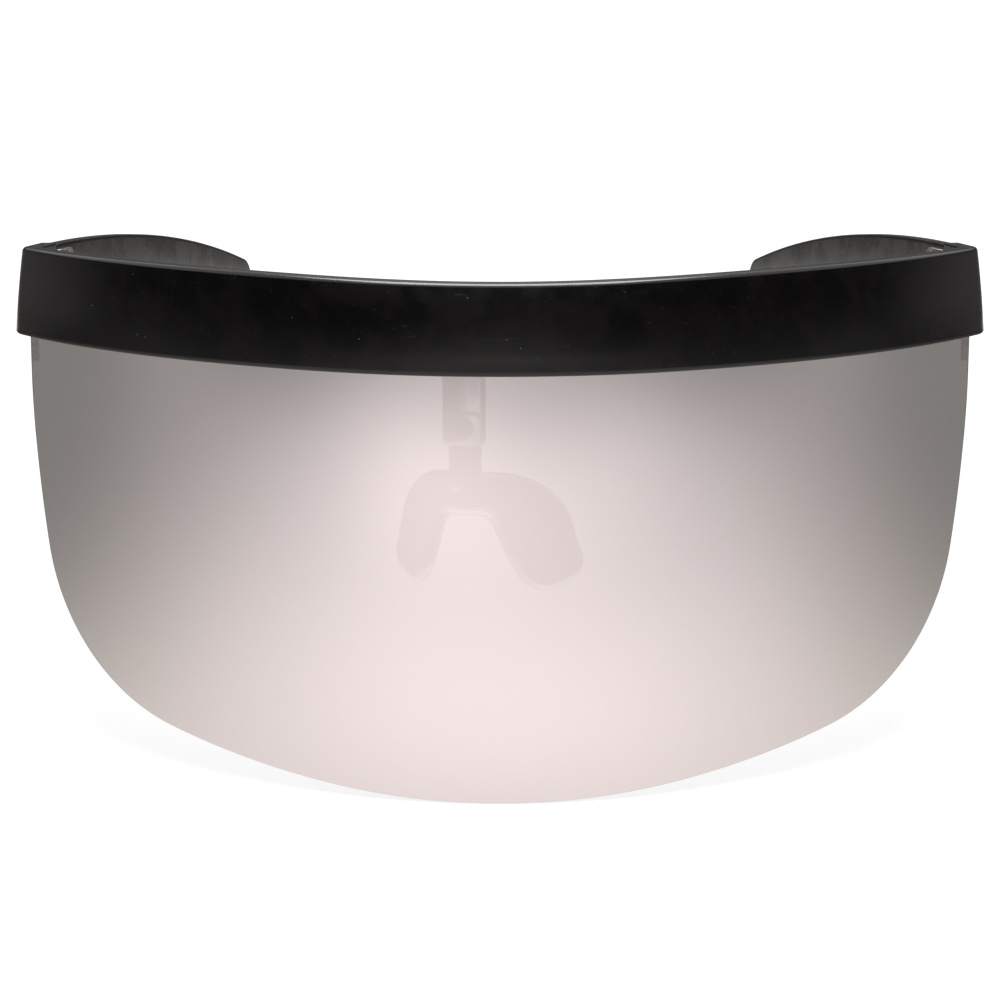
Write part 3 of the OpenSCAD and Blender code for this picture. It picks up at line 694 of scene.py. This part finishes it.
def saddle_skin(s):
    """The saddle in its own frame. Seen from the front it is a band along an upside-down U,
    and its depth there is the middle of its plan: a circle at the crest that runs into
    straight flanks. Between crest and foot the band's outer edge is pushed out by shoulder
    exp(-((u - 1/2) / spread)^2). Across the band the half thickness is t/2 sqrt(1 - |v|^5),
    and each foot ends in a half disc."""
    crest_share, flank_share, flank_depth_share = 0.36, 0.66, 0.44
    widen_from, widen_over, spread = 0.25, 0.6, 0.3  # shares of the way from crest to foot
    n, foot_n, round_n = 60, 15, 64  # places down a leg, round its foot and round the band
    crest_z = -s.crest_w / 2
    half = np.array(
        [
            [0, crest_z],
            [s.foot_x * crest_share, crest_z],
            [s.foot_x * flank_share, -s.foot_z * flank_depth_share],
            [s.foot_x, -s.foot_z],
        ]
    )
    line = smooth_line(half, rounds=5)
    gap = np.concatenate([[0], np.cumsum(np.linalg.norm(np.diff(line, axis=0), axis=1))])
    u = np.linspace(0, gap[-1], n)
    path = np.stack([np.interp(u, gap, line[:, 0]), np.interp(u, gap, line[:, 1])], -1)
    u = u / gap[-1]
    more = s.shoulder * np.exp(-(((u - 0.5) / spread) ** 2))
    widened = smooth_step((u - widen_from) / widen_over)
    width = s.crest_w + (s.leg_w - s.crest_w) * widened + more
    ahead = unit(np.gradient(path, axis=0))
    path = path + np.stack([-ahead[:, 1], ahead[:, 0]], -1) * more[:, None] / 2
    a = np.linspace(0, math.pi / 2, foot_n + 1)[1:]
    ahead = unit(path[-1] - path[-2])
    path = np.concatenate([path, path[-1] + ahead * (s.leg_w / 2) * np.sin(a)[:, None]])
    width = np.concatenate([width, s.leg_w * np.cos(a)])
    tall = np.concatenate([np.ones(n), np.sqrt(1 - np.sin(a) ** 6)])
    tangent = unit(np.gradient(path, axis=0))
    tangent[n:] = ahead
    path = np.concatenate([path[:0:-1] * [-1, 1], path])
    tangent = np.concatenate([tangent[:0:-1] * [1, -1], tangent])
    width = np.concatenate([width[:0:-1], width])
    tall = np.concatenate([tall[:0:-1], tall])
    aside = np.stack([-tangent[:, 1], tangent[:, 0]], -1)
    b = np.linspace(0, 2 * math.pi, round_n, endpoint=False)
    v = np.sign(np.cos(b)) * np.abs(np.cos(b)) ** 0.5
    w = np.sign(np.sin(b)) * np.sqrt(np.maximum(1 - np.abs(v) ** 5, 0))
    flat = path[:, None, :] + aside[:, None, :] * (width[:, None] / 2 * v)[..., None]
    x, z = flat[..., 0], flat[..., 1]
    r = s.crest_r - s.saddle_t / 2
    flank_x = r * math.cos(s.sweep)
    reach = np.minimum(np.abs(x), flank_x)
    flank = np.maximum(np.abs(x) - flank_x, 0) / math.tan(s.sweep)
    y = s.crest_r - np.sqrt(np.maximum(r * r - reach**2, 0)) + flank
    nx = np.sign(x) * reach / r
    ny = -np.sqrt(1 - nx * nx)
    step = tall[:, None] * w * s.saddle_t / 2
    return np.stack([x + nx * step, y + ny * step, z], -1)


def build_saddle(s, front):
    """The saddle and its neck under one skin: both are closed shapes that run through each
    other, and the skin is drawn over them on a fine grid and smoothed, as a moulding's
    inner corners are."""
    skin = saddle_skin(s)
    x, y, z = skin.reshape(-1, 3).T
    c, d = math.cos(s.turn), math.sin(s.turn)
    p = np.stack([x * c - y * d, x * d + y * c, z - s.saddle_depth], -1)
    low, corner = -s.saddle_depth - s.neck_lap, s.neck_w / 5
    outline = plate_outline(s.neck_w / 2, low, -s.neck_top, corner)
    q, neck_faces, neck_caps = slab(outline, s.stem_t, s.edge_r)
    every = np.concatenate([p, q])
    every[:, 1] += s.stem_t + s.seat
    faces = np.concatenate([grid_faces(*skin.shape[:2]), neck_faces + len(p)])
    caps = [[i + len(p) for i in cap] for cap in neck_caps]
    piece = put_mesh("nose_saddle_clear", at_stem(s, front, every), faces, caps=caps)
    remesh = piece.modifiers.new("Skin", "REMESH")
    remesh.mode = "VOXEL"
    remesh.voxel_size = s.voxel
    remesh.use_smooth_shade = True
    ease = piece.modifiers.new("Ease", "SMOOTH")
    ease.factor = 0.5
    ease.iterations = 8
    return piece


# Finishes


def is_link(value):
    """Whether the value is a socket to link from, and not a number or a colour."""
    return isinstance(value, bpy.types.NodeSocket)


class Tree:
    """Short ways to make the nodes of one tree."""

    def __init__(self, tree):
        self.tree = tree

    def feed(self, node, inputs):
        """Links or sets the node's inputs, which are given by name or number."""
        for key, value in inputs.items():
            if is_link(value):
                self.tree.links.new(value, node.inputs[key])
            else:
                node.inputs[key].default_value = value
        return node

    def add(self, kind, inputs=None, **settings):
        """A new node with these inputs and settings."""
        node = self.tree.nodes.new(kind)
        for key, value in settings.items():
            setattr(node, key, value)
        return self.feed(node, inputs or {})

    def place(self):
        """The Object coordinates of what the material is on."""
        return self.add("ShaderNodeTexCoord").outputs["Object"]

    def value(self, operation, *given, clamp=False):
        """A number worked out from one or two others."""
        inputs = dict(enumerate(given))
        node = self.add("ShaderNodeMath", inputs, operation=operation, use_clamp=clamp)
        return node.outputs[0]

    def times(self, a, b, clamp=False):
        """a b."""
        return self.value("MULTIPLY", a, b, clamp=clamp)

    def plus(self, *terms):
        """The sum of all terms."""
        total = terms[0]
        for term in terms[1:]:
            total = self.value("ADD", total, term)
        return total

    def vector(self, operation, a, b):
        """Vector maths, with both of its outputs."""
        return self.add("ShaderNodeVectorMath", {0: a, 1: b}, operation=operation).outputs

    def mix(self, share, a, b):
        """Colour a, which turns into colour b as share rises."""
        a, b = (v if is_link(v) else (*v, 1) for v in (a, b))
        node = self.add("ShaderNodeMix", {0: share, 6: a, 7: b}, data_type="RGBA")
        return node.outputs[2]

    def either(self, share, a, b):
        """Shader a, which turns into shader b as share rises."""
        return self.add("ShaderNodeMixShader", {0: share, 1: a, 2: b}).outputs[0]

    def between(self, value, a, b, low=0.0, high=1.0):
        """A smooth step from low, where value is a, to high, where it is b."""
        ends = {"Value": value, "From Min": a, "From Max": b, "To Min": low, "To Max": high}
        node = self.add("ShaderNodeMapRange", ends, interpolation_type="SMOOTHSTEP")
        return node.outputs["Result"]

    def noise(self, place, scale, detail=2.0, roughness=0.5):
        """A noise between 0 and 1."""
        inputs = {"Vector": place, "Scale": scale, "Detail": detail, "Roughness": roughness}
        return self.add("ShaderNodeTexNoise", inputs).outputs["Fac"]

    def stretched(self, place, scale, turn=(0, 0, 0)):
        """The place, turned and stretched for a pattern."""
        inputs = {"Vector": place, "Rotation": turn, "Scale": scale}
        return self.add("ShaderNodeMapping", inputs).outputs["Vector"]

    def bump(self, height, strength, distance):
        """The normal of a surface with this height."""
        inputs = {"Height": height, "Strength": strength, "Distance": distance}
        return self.add("ShaderNodeBump", inputs).outputs["Normal"]

    def glow(self, strength, tint=(1, 1, 1, 1)):
        """A surface that gives off light."""
        inputs = {"Color": tint, "Strength": strength}
        return self.add("ShaderNodeEmission", inputs).outputs[0]

    def group(self, name, place, **values):
        """The outputs of a shared group that has these values. The group is made when it is
        first asked for."""
        shared = bpy.data.node_groups.get(name) or SHARED[name]()
        node = self.add("ShaderNodeGroup", node_tree=shared)
        named = {key.replace("_", " "): value for key, value in values.items()}
        return self.feed(node, {"Vector": place, **named}).outputs

    def pool(self, place, centre, extent, gain):
        """A pool of light, as pool_group gives it."""
        values = {"Centre": centre, "Size": extent, "Gain": gain}
        return self.group("Light pool", place, **values)["Value"]


def new_group(name, inputs, outputs):
    """A shader node group whose inputs are given with their defaults. An input with None is
    a vector, and every other input and output is a number."""
    group = bpy.data.node_groups.new(name, "ShaderNodeTree")
    for label, default in inputs.items():
        kind = "NodeSocketVector" if default is None else "NodeSocketFloat"
        socket = group.interface.new_socket(label, in_out="INPUT", socket_type=kind)
        if default is not None:
            socket.default_value = default
    for label in outputs:
        group.interface.new_socket(label, in_out="OUTPUT", socket_type="NodeSocketFloat")
    t = Tree(group)
    return t, t.add("NodeGroupInput").outputs, t.add("NodeGroupOutput")


def dust_group():
    """Specks and scuffs: cells of a Voronoi pattern whose centres are near count as a speck
    where a second, wide noise lets them, and thin bands of a stretched noise are scuffs."""
    inputs = {"Vector": None, "Speck Scale": 900.0, "Amount": 0.5}
    t, given, out = new_group("Dust and scuffs", inputs, ["Specks", "Scuffs"])
    place, amount = given["Vector"], given["Amount"]
    cell = {"Vector": place, "Scale": given["Speck Scale"]}
    cells = t.add("ShaderNodeTexVoronoi", cell, feature="F1").outputs
    near = t.between(cells["Distance"], 0.05, 0.11, low=1.0, high=0.0)
    pick = t.value("GREATER_THAN", cells["Color"], 0.82)
    wide = t.between(t.noise(place, 45, detail=1), 0.45, 0.62)
    specks = t.times(t.times(near, pick), wide)
    along = t.stretched(place, (60, 2400, 1400), turn=(0.4, 0.2, 0.7))
    bands = t.between(t.noise(along, 1.0, detail=1.5), 0.7, 0.73)
    marks = {"Specks": specks, "Scuffs": bands}
    t.feed(out, {key: t.times(mark, amount, clamp=True) for key, mark in marks.items()})
    return t.tree


def grain_group():
    """The skin of a moulding: a fine even grain on a slow swell, for a Bump node's height,
    and a mottle for colour and gloss."""
    inputs = {"Vector": None, "Grain Scale": 2600.0, "Grain": 0.5}
    t, given, out = new_group("Moulded skin", inputs, ["Height", "Mottle"])
    place = given["Vector"]
    fine = t.times(t.noise(place, given["Grain Scale"], detail=3), given["Grain"])
    slow = t.noise(place, 160, detail=1)
    mottle = t.between(t.noise(place, 130, detail=4, roughness=0.65), 0.4, 0.64)
    t.feed(out, {"Height": t.plus(fine, slow), "Mottle": mottle})
    return t.tree


def drawn_group():
    """Drawn or turned metal: a noise stretched along one axis, for height and gloss, and
    a wide noise for soil."""
    inputs = {"Vector": None, "Fineness": 1.0}
    t, given, out = new_group("Drawn metal", inputs, ["Lines", "Soil"])
    along = t.stretched(given["Vector"], (2600, 160, 2600))
    lines = t.noise(along, given["Fineness"], detail=4)
    wide = t.noise(given["Vector"], 700, detail=4, roughness=0.6)
    t.feed(out, {"Lines": lines, "Soil": t.between(wide, 0.55, 0.72)})
    return t.tree


def pool_group():
    """A pool of light: exp(-|(P - centre) / size|^2) times a gain."""
    inputs = {"Vector": None, "Centre": None, "Size": None, "Gain": 1.0}
    t, given, out = new_group("Light pool", inputs, ["Value"])
    off = t.vector("SUBTRACT", given["Vector"], given["Centre"])[0]
    part = t.vector("DIVIDE", off, given["Size"])[0]
    square = t.vector("DOT_PRODUCT", part, part)["Value"]
    fall = t.value("POWER", math.e, t.times(square, -1.0))
    t.feed(out, {"Value": t.times(fall, given["Gain"])})
    return t.tree


SHARED = {
    "Dust and scuffs": dust_group,
    "Moulded skin": grain_group,
    "Drawn metal": drawn_group,
    "Light pool": pool_group,
}


# Each finish below returns what goes into its material's Principled shader.


def toned(rgb, gain):
    """A colour made darker or paler, and no paler than 1."""
    return tuple(min(1, v * gain) for v in rgb)


def black_plastic(t, place, c):
    """Black moulded plastic with a satin gloss: warm flow marks, a few specks and scuffs."""
    skin = t.group("Moulded skin", place, Grain_Scale=2400.0, Grain=0.35)
    dust = t.group("Dust and scuffs", place, Speck_Scale=820.0, Amount=0.85)
    body = t.mix(skin["Mottle"], c.black, c.black_warm)
    gloss = t.between(skin["Mottle"], 0, 1, low=0.15, high=0.21)
    marks = t.times(dust["Scuffs"], 0.16), t.times(dust["Specks"], 0.5)
    return {
        "Base Color": t.mix(dust["Specks"], body, c.dust),
        "Roughness": t.plus(gloss, *marks),
        "IOR": 1.5,
        "Normal": t.bump(skin["Height"], strength=0.08, distance=0.04e-3),
    }


def mirror_coat(t, place, c):
    """The mirror coat on the lens's front. It lets an eighth of the light through, and seen
    from behind, through the smoke, it is dark."""
    facing = t.add("ShaderNodeLayerWeight", {"Blend": 0.5}).outputs["Facing"]
    coat = t.mix(t.between(facing, 0.1, 0.62), c.mirror, c.mirror_side)
    rear = t.add("ShaderNodeNewGeometry").outputs["Backfacing"]
    dust = t.group("Dust and scuffs", place, Speck_Scale=500.0, Amount=0.3)
    film = t.noise(place, 38, detail=3, roughness=0.6)
    smear = t.between(film, 0.42, 0.7, low=0.035, high=0.06)
    return {
        "Base Color": t.mix(rear, coat, c.behind),
        "Metallic": 1,
        "Roughness": t.plus(smear, t.times(dust["Specks"], 0.25)),
        "Alpha": 0.88,
        "Normal": t.bump(t.noise(place, 60, detail=1), strength=0.05, distance=0.1e-3),
    }


def smoke_back(t, place, c):
    """The lens's rear: smoke-tinted plastic behind the coat."""
    tone = t.between(t.noise(place, 30), 0.3, 0.7)
    dust = t.group("Dust and scuffs", place, Speck_Scale=600.0, Amount=0.5)
    film = t.noise(place, 42, detail=3, roughness=0.6)
    smear = t.between(film, 0.4, 0.7, low=0.03, high=0.08)
    return {
        "Base Color": t.mix(tone, c.smoke, toned(c.smoke, 0.75)),
        "Roughness": t.plus(smear, t.times(dust["Scuffs"], 0.1)),
        "Alpha": 0.3,
        "IOR": 1.5,
    }


def lens_edge(t, place, c):
    """The lens's cut and polished edge, with faint polishing lines round it."""
    lines = t.group("Drawn metal", place, Fineness=0.5)["Lines"]
    return {
        "Base Color": t.mix(lines, toned(c.rim, 0.6), c.rim),
        "Roughness": t.between(lines, 0.3, 0.7, low=0.12, high=0.26),
        "Alpha": 0.3,
        "IOR": 1.5,
    }


def clear_plastic(t, place, c):
    """Clear moulded plastic with faint flow lines."""
    skin = t.group("Moulded skin", place, Grain_Scale=1500.0, Grain=0.2)
    return {
        "Base Color": t.mix(t.noise(place, 220), c.clear, toned(c.clear, 1.03)),
        "Roughness": t.between(skin["Mottle"], 0, 1, low=0.05, high=0.12),
        "Transmission Weight": 1,
        "IOR": 1.49,
        "Normal": t.bump(skin["Height"], strength=0.1, distance=0.05e-3),
    }


def metal(t, place, c, tone, rough, fineness, relief):
    """Drawn or turned metal: lines in gloss and height, soil in its hollows. Its roughness
    runs between the two ends of rough."""
    drawn = t.group("Drawn metal", place, Fineness=fineness)
    lines, soiled = drawn["Lines"], t.times(drawn["Soil"], 0.25)
    gloss = t.between(lines, 0.3, 0.7, *rough)
    return {
        "Base Color": t.mix(soiled, t.mix(lines, tone, toned(tone, 0.8)), c.soil),
        "Metallic": 1,
        "Roughness": t.plus(gloss, t.times(soiled, 0.5)),
        "Normal": t.bump(lines, strength=relief, distance=0.03e-3),
    }


def drawn_nickel(t, place, c):
    """The hinges' nickel silver, with coarse drawn lines."""
    return metal(t, place, c, c.nickel, (0.24, 0.4), fineness=1.0, relief=0.3)


def plated_steel(t, place, c):
    """The screws' plated steel, with fine turned lines."""
    return metal(t, place, c, c.steel, (0.14, 0.24), fineness=1.6, relief=0.12)


FINISHES = {
    "moulded_black": black_plastic,
    "mirror_coat": mirror_coat,
    "smoke_back": smoke_back,
    "lens_edge": lens_edge,
    "clear_moulding": clear_plastic,
    "drawn_nickel": drawn_nickel,
    "plated_steel": plated_steel,
}


def finish(name):
    """The finish of that name, made when it is first asked for."""
    material = bpy.data.materials.get(name)
    if not material:
        material = bpy.data.materials.new(name)
        material.use_nodes = True
        t = Tree(material.node_tree)
        surface = FINISHES[name](t, t.place(), bpy.context.scene.sunglasses_finishes)
        t.feed(t.tree.nodes["Principled BSDF"], surface)
    return material


def dress(obj, *names):
    """Gives the object these finishes, one for each of its slots in order. Slots are cleared
    only where there are some, because clearing also resets the faces' slot numbers."""
    if len(obj.data.materials):
        obj.data.materials.clear()
    for name in names:
        obj.data.materials.append(finish(name))


def settle(piece, body, node):
    """Makes a new piece ride on its body and hides the CAD node that it stands for."""
    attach(piece, body)
    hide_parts(node)


def weld_group():
    """Geometry nodes that merge a CAD node's loose triangles and shade its round faces
    smooth, with every edge above 30 degrees kept sharp."""
    group = bpy.data.node_groups.new("Welded shading", "GeometryNodeTree")
    for way in ("INPUT", "OUTPUT"):
        group.interface.new_socket("Geometry", in_out=way, socket_type="NodeSocketGeometry")
    t = Tree(group)
    shape = t.add("NodeGroupInput").outputs[0]
    loose = {"Geometry": shape, "Distance": 2e-6}
    merged = t.add("GeometryNodeMergeByDistance", loose).outputs["Geometry"]
    smooth = {"Geometry": merged, "Shade Smooth": True}
    soft = t.add("GeometryNodeSetShadeSmooth", smooth, domain="FACE").outputs["Geometry"]
    bend = t.add("GeometryNodeInputMeshEdgeAngle").outputs["Unsigned Angle"]
    wide = t.value("GREATER_THAN", bend, math.radians(30))
    creased = {"Geometry": soft, "Selection": wide, "Shade Smooth": False}
    sharp = t.add("GeometryNodeSetShadeSmooth", creased, domain="EDGE").outputs["Geometry"]
    t.add("NodeGroupOutput", {0: sharp})
    return group


def weld(obj):
    """Adds the welding modifier to a CAD node."""
    group = bpy.data.node_groups.get("Welded shading") or weld_group()
    obj.modifiers.new("Welded shading", "NODES").node_group = group


# Stage

# Pools of light that gloss sees on the floor: (x, distance behind the front's middle), size
# and gain. The floor itself has the level.
FLOOR_LEVEL = 0.145
FLOOR_POOLS = {
    "strip across the front": ((0, -0.0555), (5, 0.1531), 0.088),
    "middle": ((0.002, -0.0175), (0.1784, 0.1076), 0.455),
    "ahead, at the wearer's left": ((0.207, -0.2179), (0.2049, 0.2083), 0.366),
    "ahead, at the wearer's right": ((-0.105, -0.2487), (0.249, 0.2162), 0.754),
    "far ahead": ((0, -1.1), (0.7, 0.45), 0.95),
    "strip behind, for the arms": ((0, 0.7), (0.8, 0.09), 1.6),
}

# The same for the ring round the stage, with the centre's y as a share of the ring's radius.
RING_POOLS = {
    "window behind": (1, (0.25, 1, 2), 0.16),
    "ahead": (-1, (1.1, 1, 2), 0.07),
    "low ahead": (-1, (1, 1, 0.35), 0.26),
    "ground all round": (0, (100, 100, 0.25), 0.08),
}


def bare_material(name):
    """A material without nodes, and its tree."""
    material = bpy.data.materials.new(name)
    material.use_nodes = True
    material.node_tree.nodes.clear()
    return material, Tree(material.node_tree)


def floor_material(s, y0):
    """The floor. The camera, and clear plastic, see it white, with the object's shadow close
    by. Gloss sees it as a dim sweep with pools of light. Everything else sees it pale."""
    material, t = bare_material("floor")
    place = t.place()
    pools = [
        t.pool(place, (x, y0 + y, 0), (width, depth, 1), gain)
        for (x, y), (width, depth), gain in FLOOR_POOLS.values()
    ]
    shine = t.glow(t.plus(FLOOR_LEVEL, *pools), WARM)
    plain = t.add("ShaderNodeBsdfDiffuse", {"Color": (*[s.paint] * 3, 1)}).outputs[0]
    close_by = t.pool(place, (0, 0, 0), (s.shadow_r, s.shadow_r, 1), s.shadow)
    shown = t.either(close_by, t.glow(s.white), plain)
    path = t.add("ShaderNodeLightPath").outputs
    direct = t.value("MAXIMUM", path["Is Camera Ray"], path["Is Transmission Ray"])
    other = t.either(direct, plain, shown)
    surface = t.either(path["Is Glossy Ray"], other, shine)
    t.add("ShaderNodeOutputMaterial", {"Surface": surface})
    return material


def ring_material(s):
    """The dark sides of the studio, which only gloss sees: darkest in front, paler at the
    sides, a little less behind, and with pools of light."""
    material, t = bare_material("dark_room")
    place = t.place()
    y = t.add("ShaderNodeSeparateXYZ", {0: place}).outputs["Y"]
    sides = t.between(y, 0.0, 0.33 * s.room, low=0.05, high=0.19)
    behind = t.between(y, 0.5 * s.room, 0.9 * s.room, low=0.0, high=-0.09)
    pools = [
        t.pool(place, (0, way * s.room, 0), extent, gain)
        for way, extent, gain in RING_POOLS.values()
    ]
    surface = t.glow(t.plus(sides, behind, *pools), WARM)
    t.add("ShaderNodeOutputMaterial", {"Surface": surface})
    return material


def stage_mesh(name, points, faces, material):
    """A stage piece from plain arrays."""
    obj = new_object(name, points, faces.tolist())
    obj.data.materials.append(material)
    return obj


def stage_sheet(name, centre, width, depth, material):
    """A flat stage piece that faces up."""
    corners = np.array([[-1, -1, 0], [1, -1, 0], [1, 1, 0], [-1, 1, 0]])
    points = centre + corners * [width / 2, depth / 2, 0]
    return stage_mesh(name, points, np.array([[0, 1, 2, 3]]), material)


def only_gloss(obj):
    """Shows a stage piece in reflections alone."""
    obj.visible_camera = False
    obj.visible_diffuse = False
    obj.visible_shadow = False
    obj.visible_transmission = False


def add_ring(s):
    """The ring round the stage: (room sin a, room cos a) at the floor and at room_h."""
    a = np.linspace(-math.pi, math.pi, 97)
    low = np.stack([s.room * np.sin(a), s.room * np.cos(a), np.zeros_like(a)], -1)
    points = np.stack([low, low + [0, 0, s.room_h]], 1).reshape(-1, 3)
    faces = grid_faces(len(a), 2, False)
    only_gloss(stage_mesh("dark_screen", points, faces, ring_material(s)))


def add_world(scene, s):
    """White where the camera, gloss and clear plastic see it, and the fill elsewhere."""
    world = bpy.data.worlds.new("studio")
    scene.world = world
    world.use_nodes = True
    t = Tree(world.node_tree)
    path = t.add("ShaderNodeLightPath").outputs
    seen = t.value("MAXIMUM", path["Is Camera Ray"], path["Is Glossy Ray"])
    seen = t.value("MAXIMUM", seen, path["Is Transmission Ray"])
    light = {"Color": (1, 1, 1, 1), "Strength": t.between(seen, 0, 1, s.fill, 1.0)}
    t.feed(world.node_tree.nodes["Background"], light)


def add_softbox(scene, s, y0):
    """The lamp overhead, which gloss doesn't see, and the bright card that it sees instead."""
    centre = np.array([0, y0 - s.box_ahead, s.box_up])
    lamp = bpy.data.lights.new("softbox", "AREA")
    lamp.shape = "RECTANGLE"
    lamp.size, lamp.size_y = s.box_w, s.box_d
    lamp.energy = s.softbox
    box = bpy.data.objects.new("softbox", lamp)
    box.location = centre
    box.rotation_euler = (-s.box_lean, 0, 0)
    box.visible_glossy = False
    scene.collection.objects.link(box)
    material, t = bare_material("softbox_shine")
    t.add("ShaderNodeOutputMaterial", {"Surface": t.glow(s.shine)})
    only_gloss(stage_sheet("softbox_card", centre, s.card_w, s.card_d, material))


def add_camera(scene, s, y0):
    """The camera, at its distance from the aim and looking down on it by its pitch."""
    data = bpy.data.cameras.new("camera")
    data.sensor_width = 36
    data.lens = s.lens_mm
    data.clip_start = 0.01
    camera = bpy.data.objects.new("camera", data)
    away = s.reach * np.array([0, -math.cos(s.pitch), math.sin(s.pitch)])
    camera.location = np.array([0, y0, s.aim_z]) + away
    camera.rotation_euler = (math.pi / 2 - s.pitch, 0, 0)
    scene.collection.objects.link(camera)
    scene.camera = camera


# Operators


class SUNGLASSES_OT_brow_bar(Operator):
    """Builds the moulded brow bar and gives it black plastic"""

    bl_idname = "sunglasses.brow_bar"
    bl_label = "Brow bar"

    def execute(self, context):
        piece = build_brow_bar(context.scene.sunglasses_front)
        dress(piece, "moulded_black")
        settle(piece, "front", "brow_bar")
        return {"FINISHED"}


class SUNGLASSES_OT_lens(Operator):
    """Builds the bent lens with its mirror coat, smoke rear and polished edge"""

    bl_idname = "sunglasses.lens"
    bl_label = "Mirror lens"

    def execute(self, context):
        scene = context.scene
        piece = build_lens(scene.sunglasses_lens, scene.sunglasses_front)
        dress(piece, "mirror_coat", "lens_edge", "smoke_back")
        settle(piece, "front", "shield_lens")
        return {"FINISHED"}


class SUNGLASSES_OT_nose_piece(Operator):
    """Builds the clear stem and the saddle under it"""

    bl_idname = "sunglasses.nose_piece"
    bl_label = "Nose piece"

    def execute(self, context):
        scene = context.scene
        sizes = scene.sunglasses_nose, scene.sunglasses_front
        for piece, node in (
            (build_stem(*sizes), "nose_stem"),
            (build_saddle(*sizes), "nose_saddle"),
        ):
            dress(piece, "clear_moulding")
            settle(piece, "front", node)
        return {"FINISHED"}


class SUNGLASSES_OT_arms(Operator):
    """Builds the two arms and gives them black plastic"""

    bl_idname = "sunglasses.arms"
    bl_label = "Arms"

    def execute(self, context):
        scene = context.scene
        for side, word in ((1, "left"), (-1, "right")):
            piece = build_arm(
                scene.sunglasses_arm, scene.sunglasses_front, side, f"{word}_arm_shell"
            )
            dress(piece, "moulded_black")
            settle(piece, f"{word}_arm", f"{word}_temple")
        return {"FINISHED"}


class SUNGLASSES_OT_hinges(Operator):
    """Gives the four hinge leaves drawn nickel silver"""

    bl_idname = "sunglasses.hinges"
    bl_label = "Hinges"

    def execute(self, context):
        for side in ("left", "right"):
            for part in ("front_hinge", "temple_hinge"):
                node = nodes[f"{side}_{part}"]
                weld(node)
                dress(node, "drawn_nickel")
        return {"FINISHED"}


class SUNGLASSES_OT_screws(Operator):
    """Gives every screw and the rivet plated steel"""

    bl_idname = "sunglasses.screws"
    bl_label = "Screws and rivet"

    def execute(self, context):
        names = [n for n in nodes if n.endswith(("screw", "screws", "rivet"))]
        if len(names) != 9:
            raise RuntimeError(f"expected nine groups of fasteners, found {names}")
        for name in names:
            weld(nodes[name])
            dress(nodes[name], "plated_steel")
        return {"FINISHED"}


class SUNGLASSES_OT_stage(Operator):
    """Builds the floor, the dark ring round it, the light and the camera"""

    bl_idname = "sunglasses.stage"
    bl_label = "Stage"

    def execute(self, context):
        scene = context.scene
        s = scene.sunglasses_stage
        y0 = -scene.sunglasses_front.middle_y
        stage_sheet("floor", np.zeros(3), s.floor, s.floor, floor_material(s, y0))
        add_ring(s)
        add_world(scene, s)
        add_softbox(scene, s, y0)
        add_camera(scene, s, y0)
        scene.view_settings.view_transform = "Standard"
        return {"FINISHED"}


class SUNGLASSES_PT_panel(Panel):
    """Lists the pieces of the sunglasses"""

    bl_idname = "SUNGLASSES_PT_panel"
    bl_label = "Shield sunglasses"
    bl_space_type = "VIEW_3D"
    bl_region_type = "UI"
    bl_category = "Sunglasses"

    def draw(self, context):
        for operator in OPERATORS:
            self.layout.operator(operator.bl_idname)
        for prop in GROUPS:
            group = getattr(context.scene, prop)
            box = self.layout.box()
            for key in group.bl_rna.properties.keys():
                if key not in ("rna_type", "name"):
                    box.prop(group, key)


OPERATORS = (
    SUNGLASSES_OT_brow_bar,
    SUNGLASSES_OT_lens,
    SUNGLASSES_OT_nose_piece,
    SUNGLASSES_OT_arms,
    SUNGLASSES_OT_hinges,
    SUNGLASSES_OT_screws,
    SUNGLASSES_OT_stage,
)
GROUPS = {
    "sunglasses_front": FrontSizes,
    "sunglasses_lens": LensSizes,
    "sunglasses_arm": ArmSizes,
    "sunglasses_nose": NoseSizes,
    "sunglasses_finishes": Finishes,
    "sunglasses_stage": StageSizes,
}


def register():
    for group in GROUPS.values():
        bpy.utils.register_class(group)
    for operator in OPERATORS:
        bpy.utils.register_class(operator)
    bpy.utils.register_class(SUNGLASSES_PT_panel)
    for prop, group in GROUPS.items():
        setattr(bpy.types.Scene, prop, PointerProperty(type=group))


def unregister():
    for prop in GROUPS:
        delattr(bpy.types.Scene, prop)
    bpy.utils.unregister_class(SUNGLASSES_PT_panel)
    for operator in reversed(OPERATORS):
        bpy.utils.unregister_class(operator)
    for group in reversed(list(GROUPS.values())):
        bpy.utils.unregister_class(group)


def main():
    """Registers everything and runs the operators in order."""
    register()
    bpy.ops.sunglasses.brow_bar()
    bpy.ops.sunglasses.lens()
    bpy.ops.sunglasses.nose_piece()
    bpy.ops.sunglasses.arms()
    bpy.ops.sunglasses.hinges()
    bpy.ops.sunglasses.screws()
    bpy.ops.sunglasses.stage()


if __name__ == "__main__":
    main()
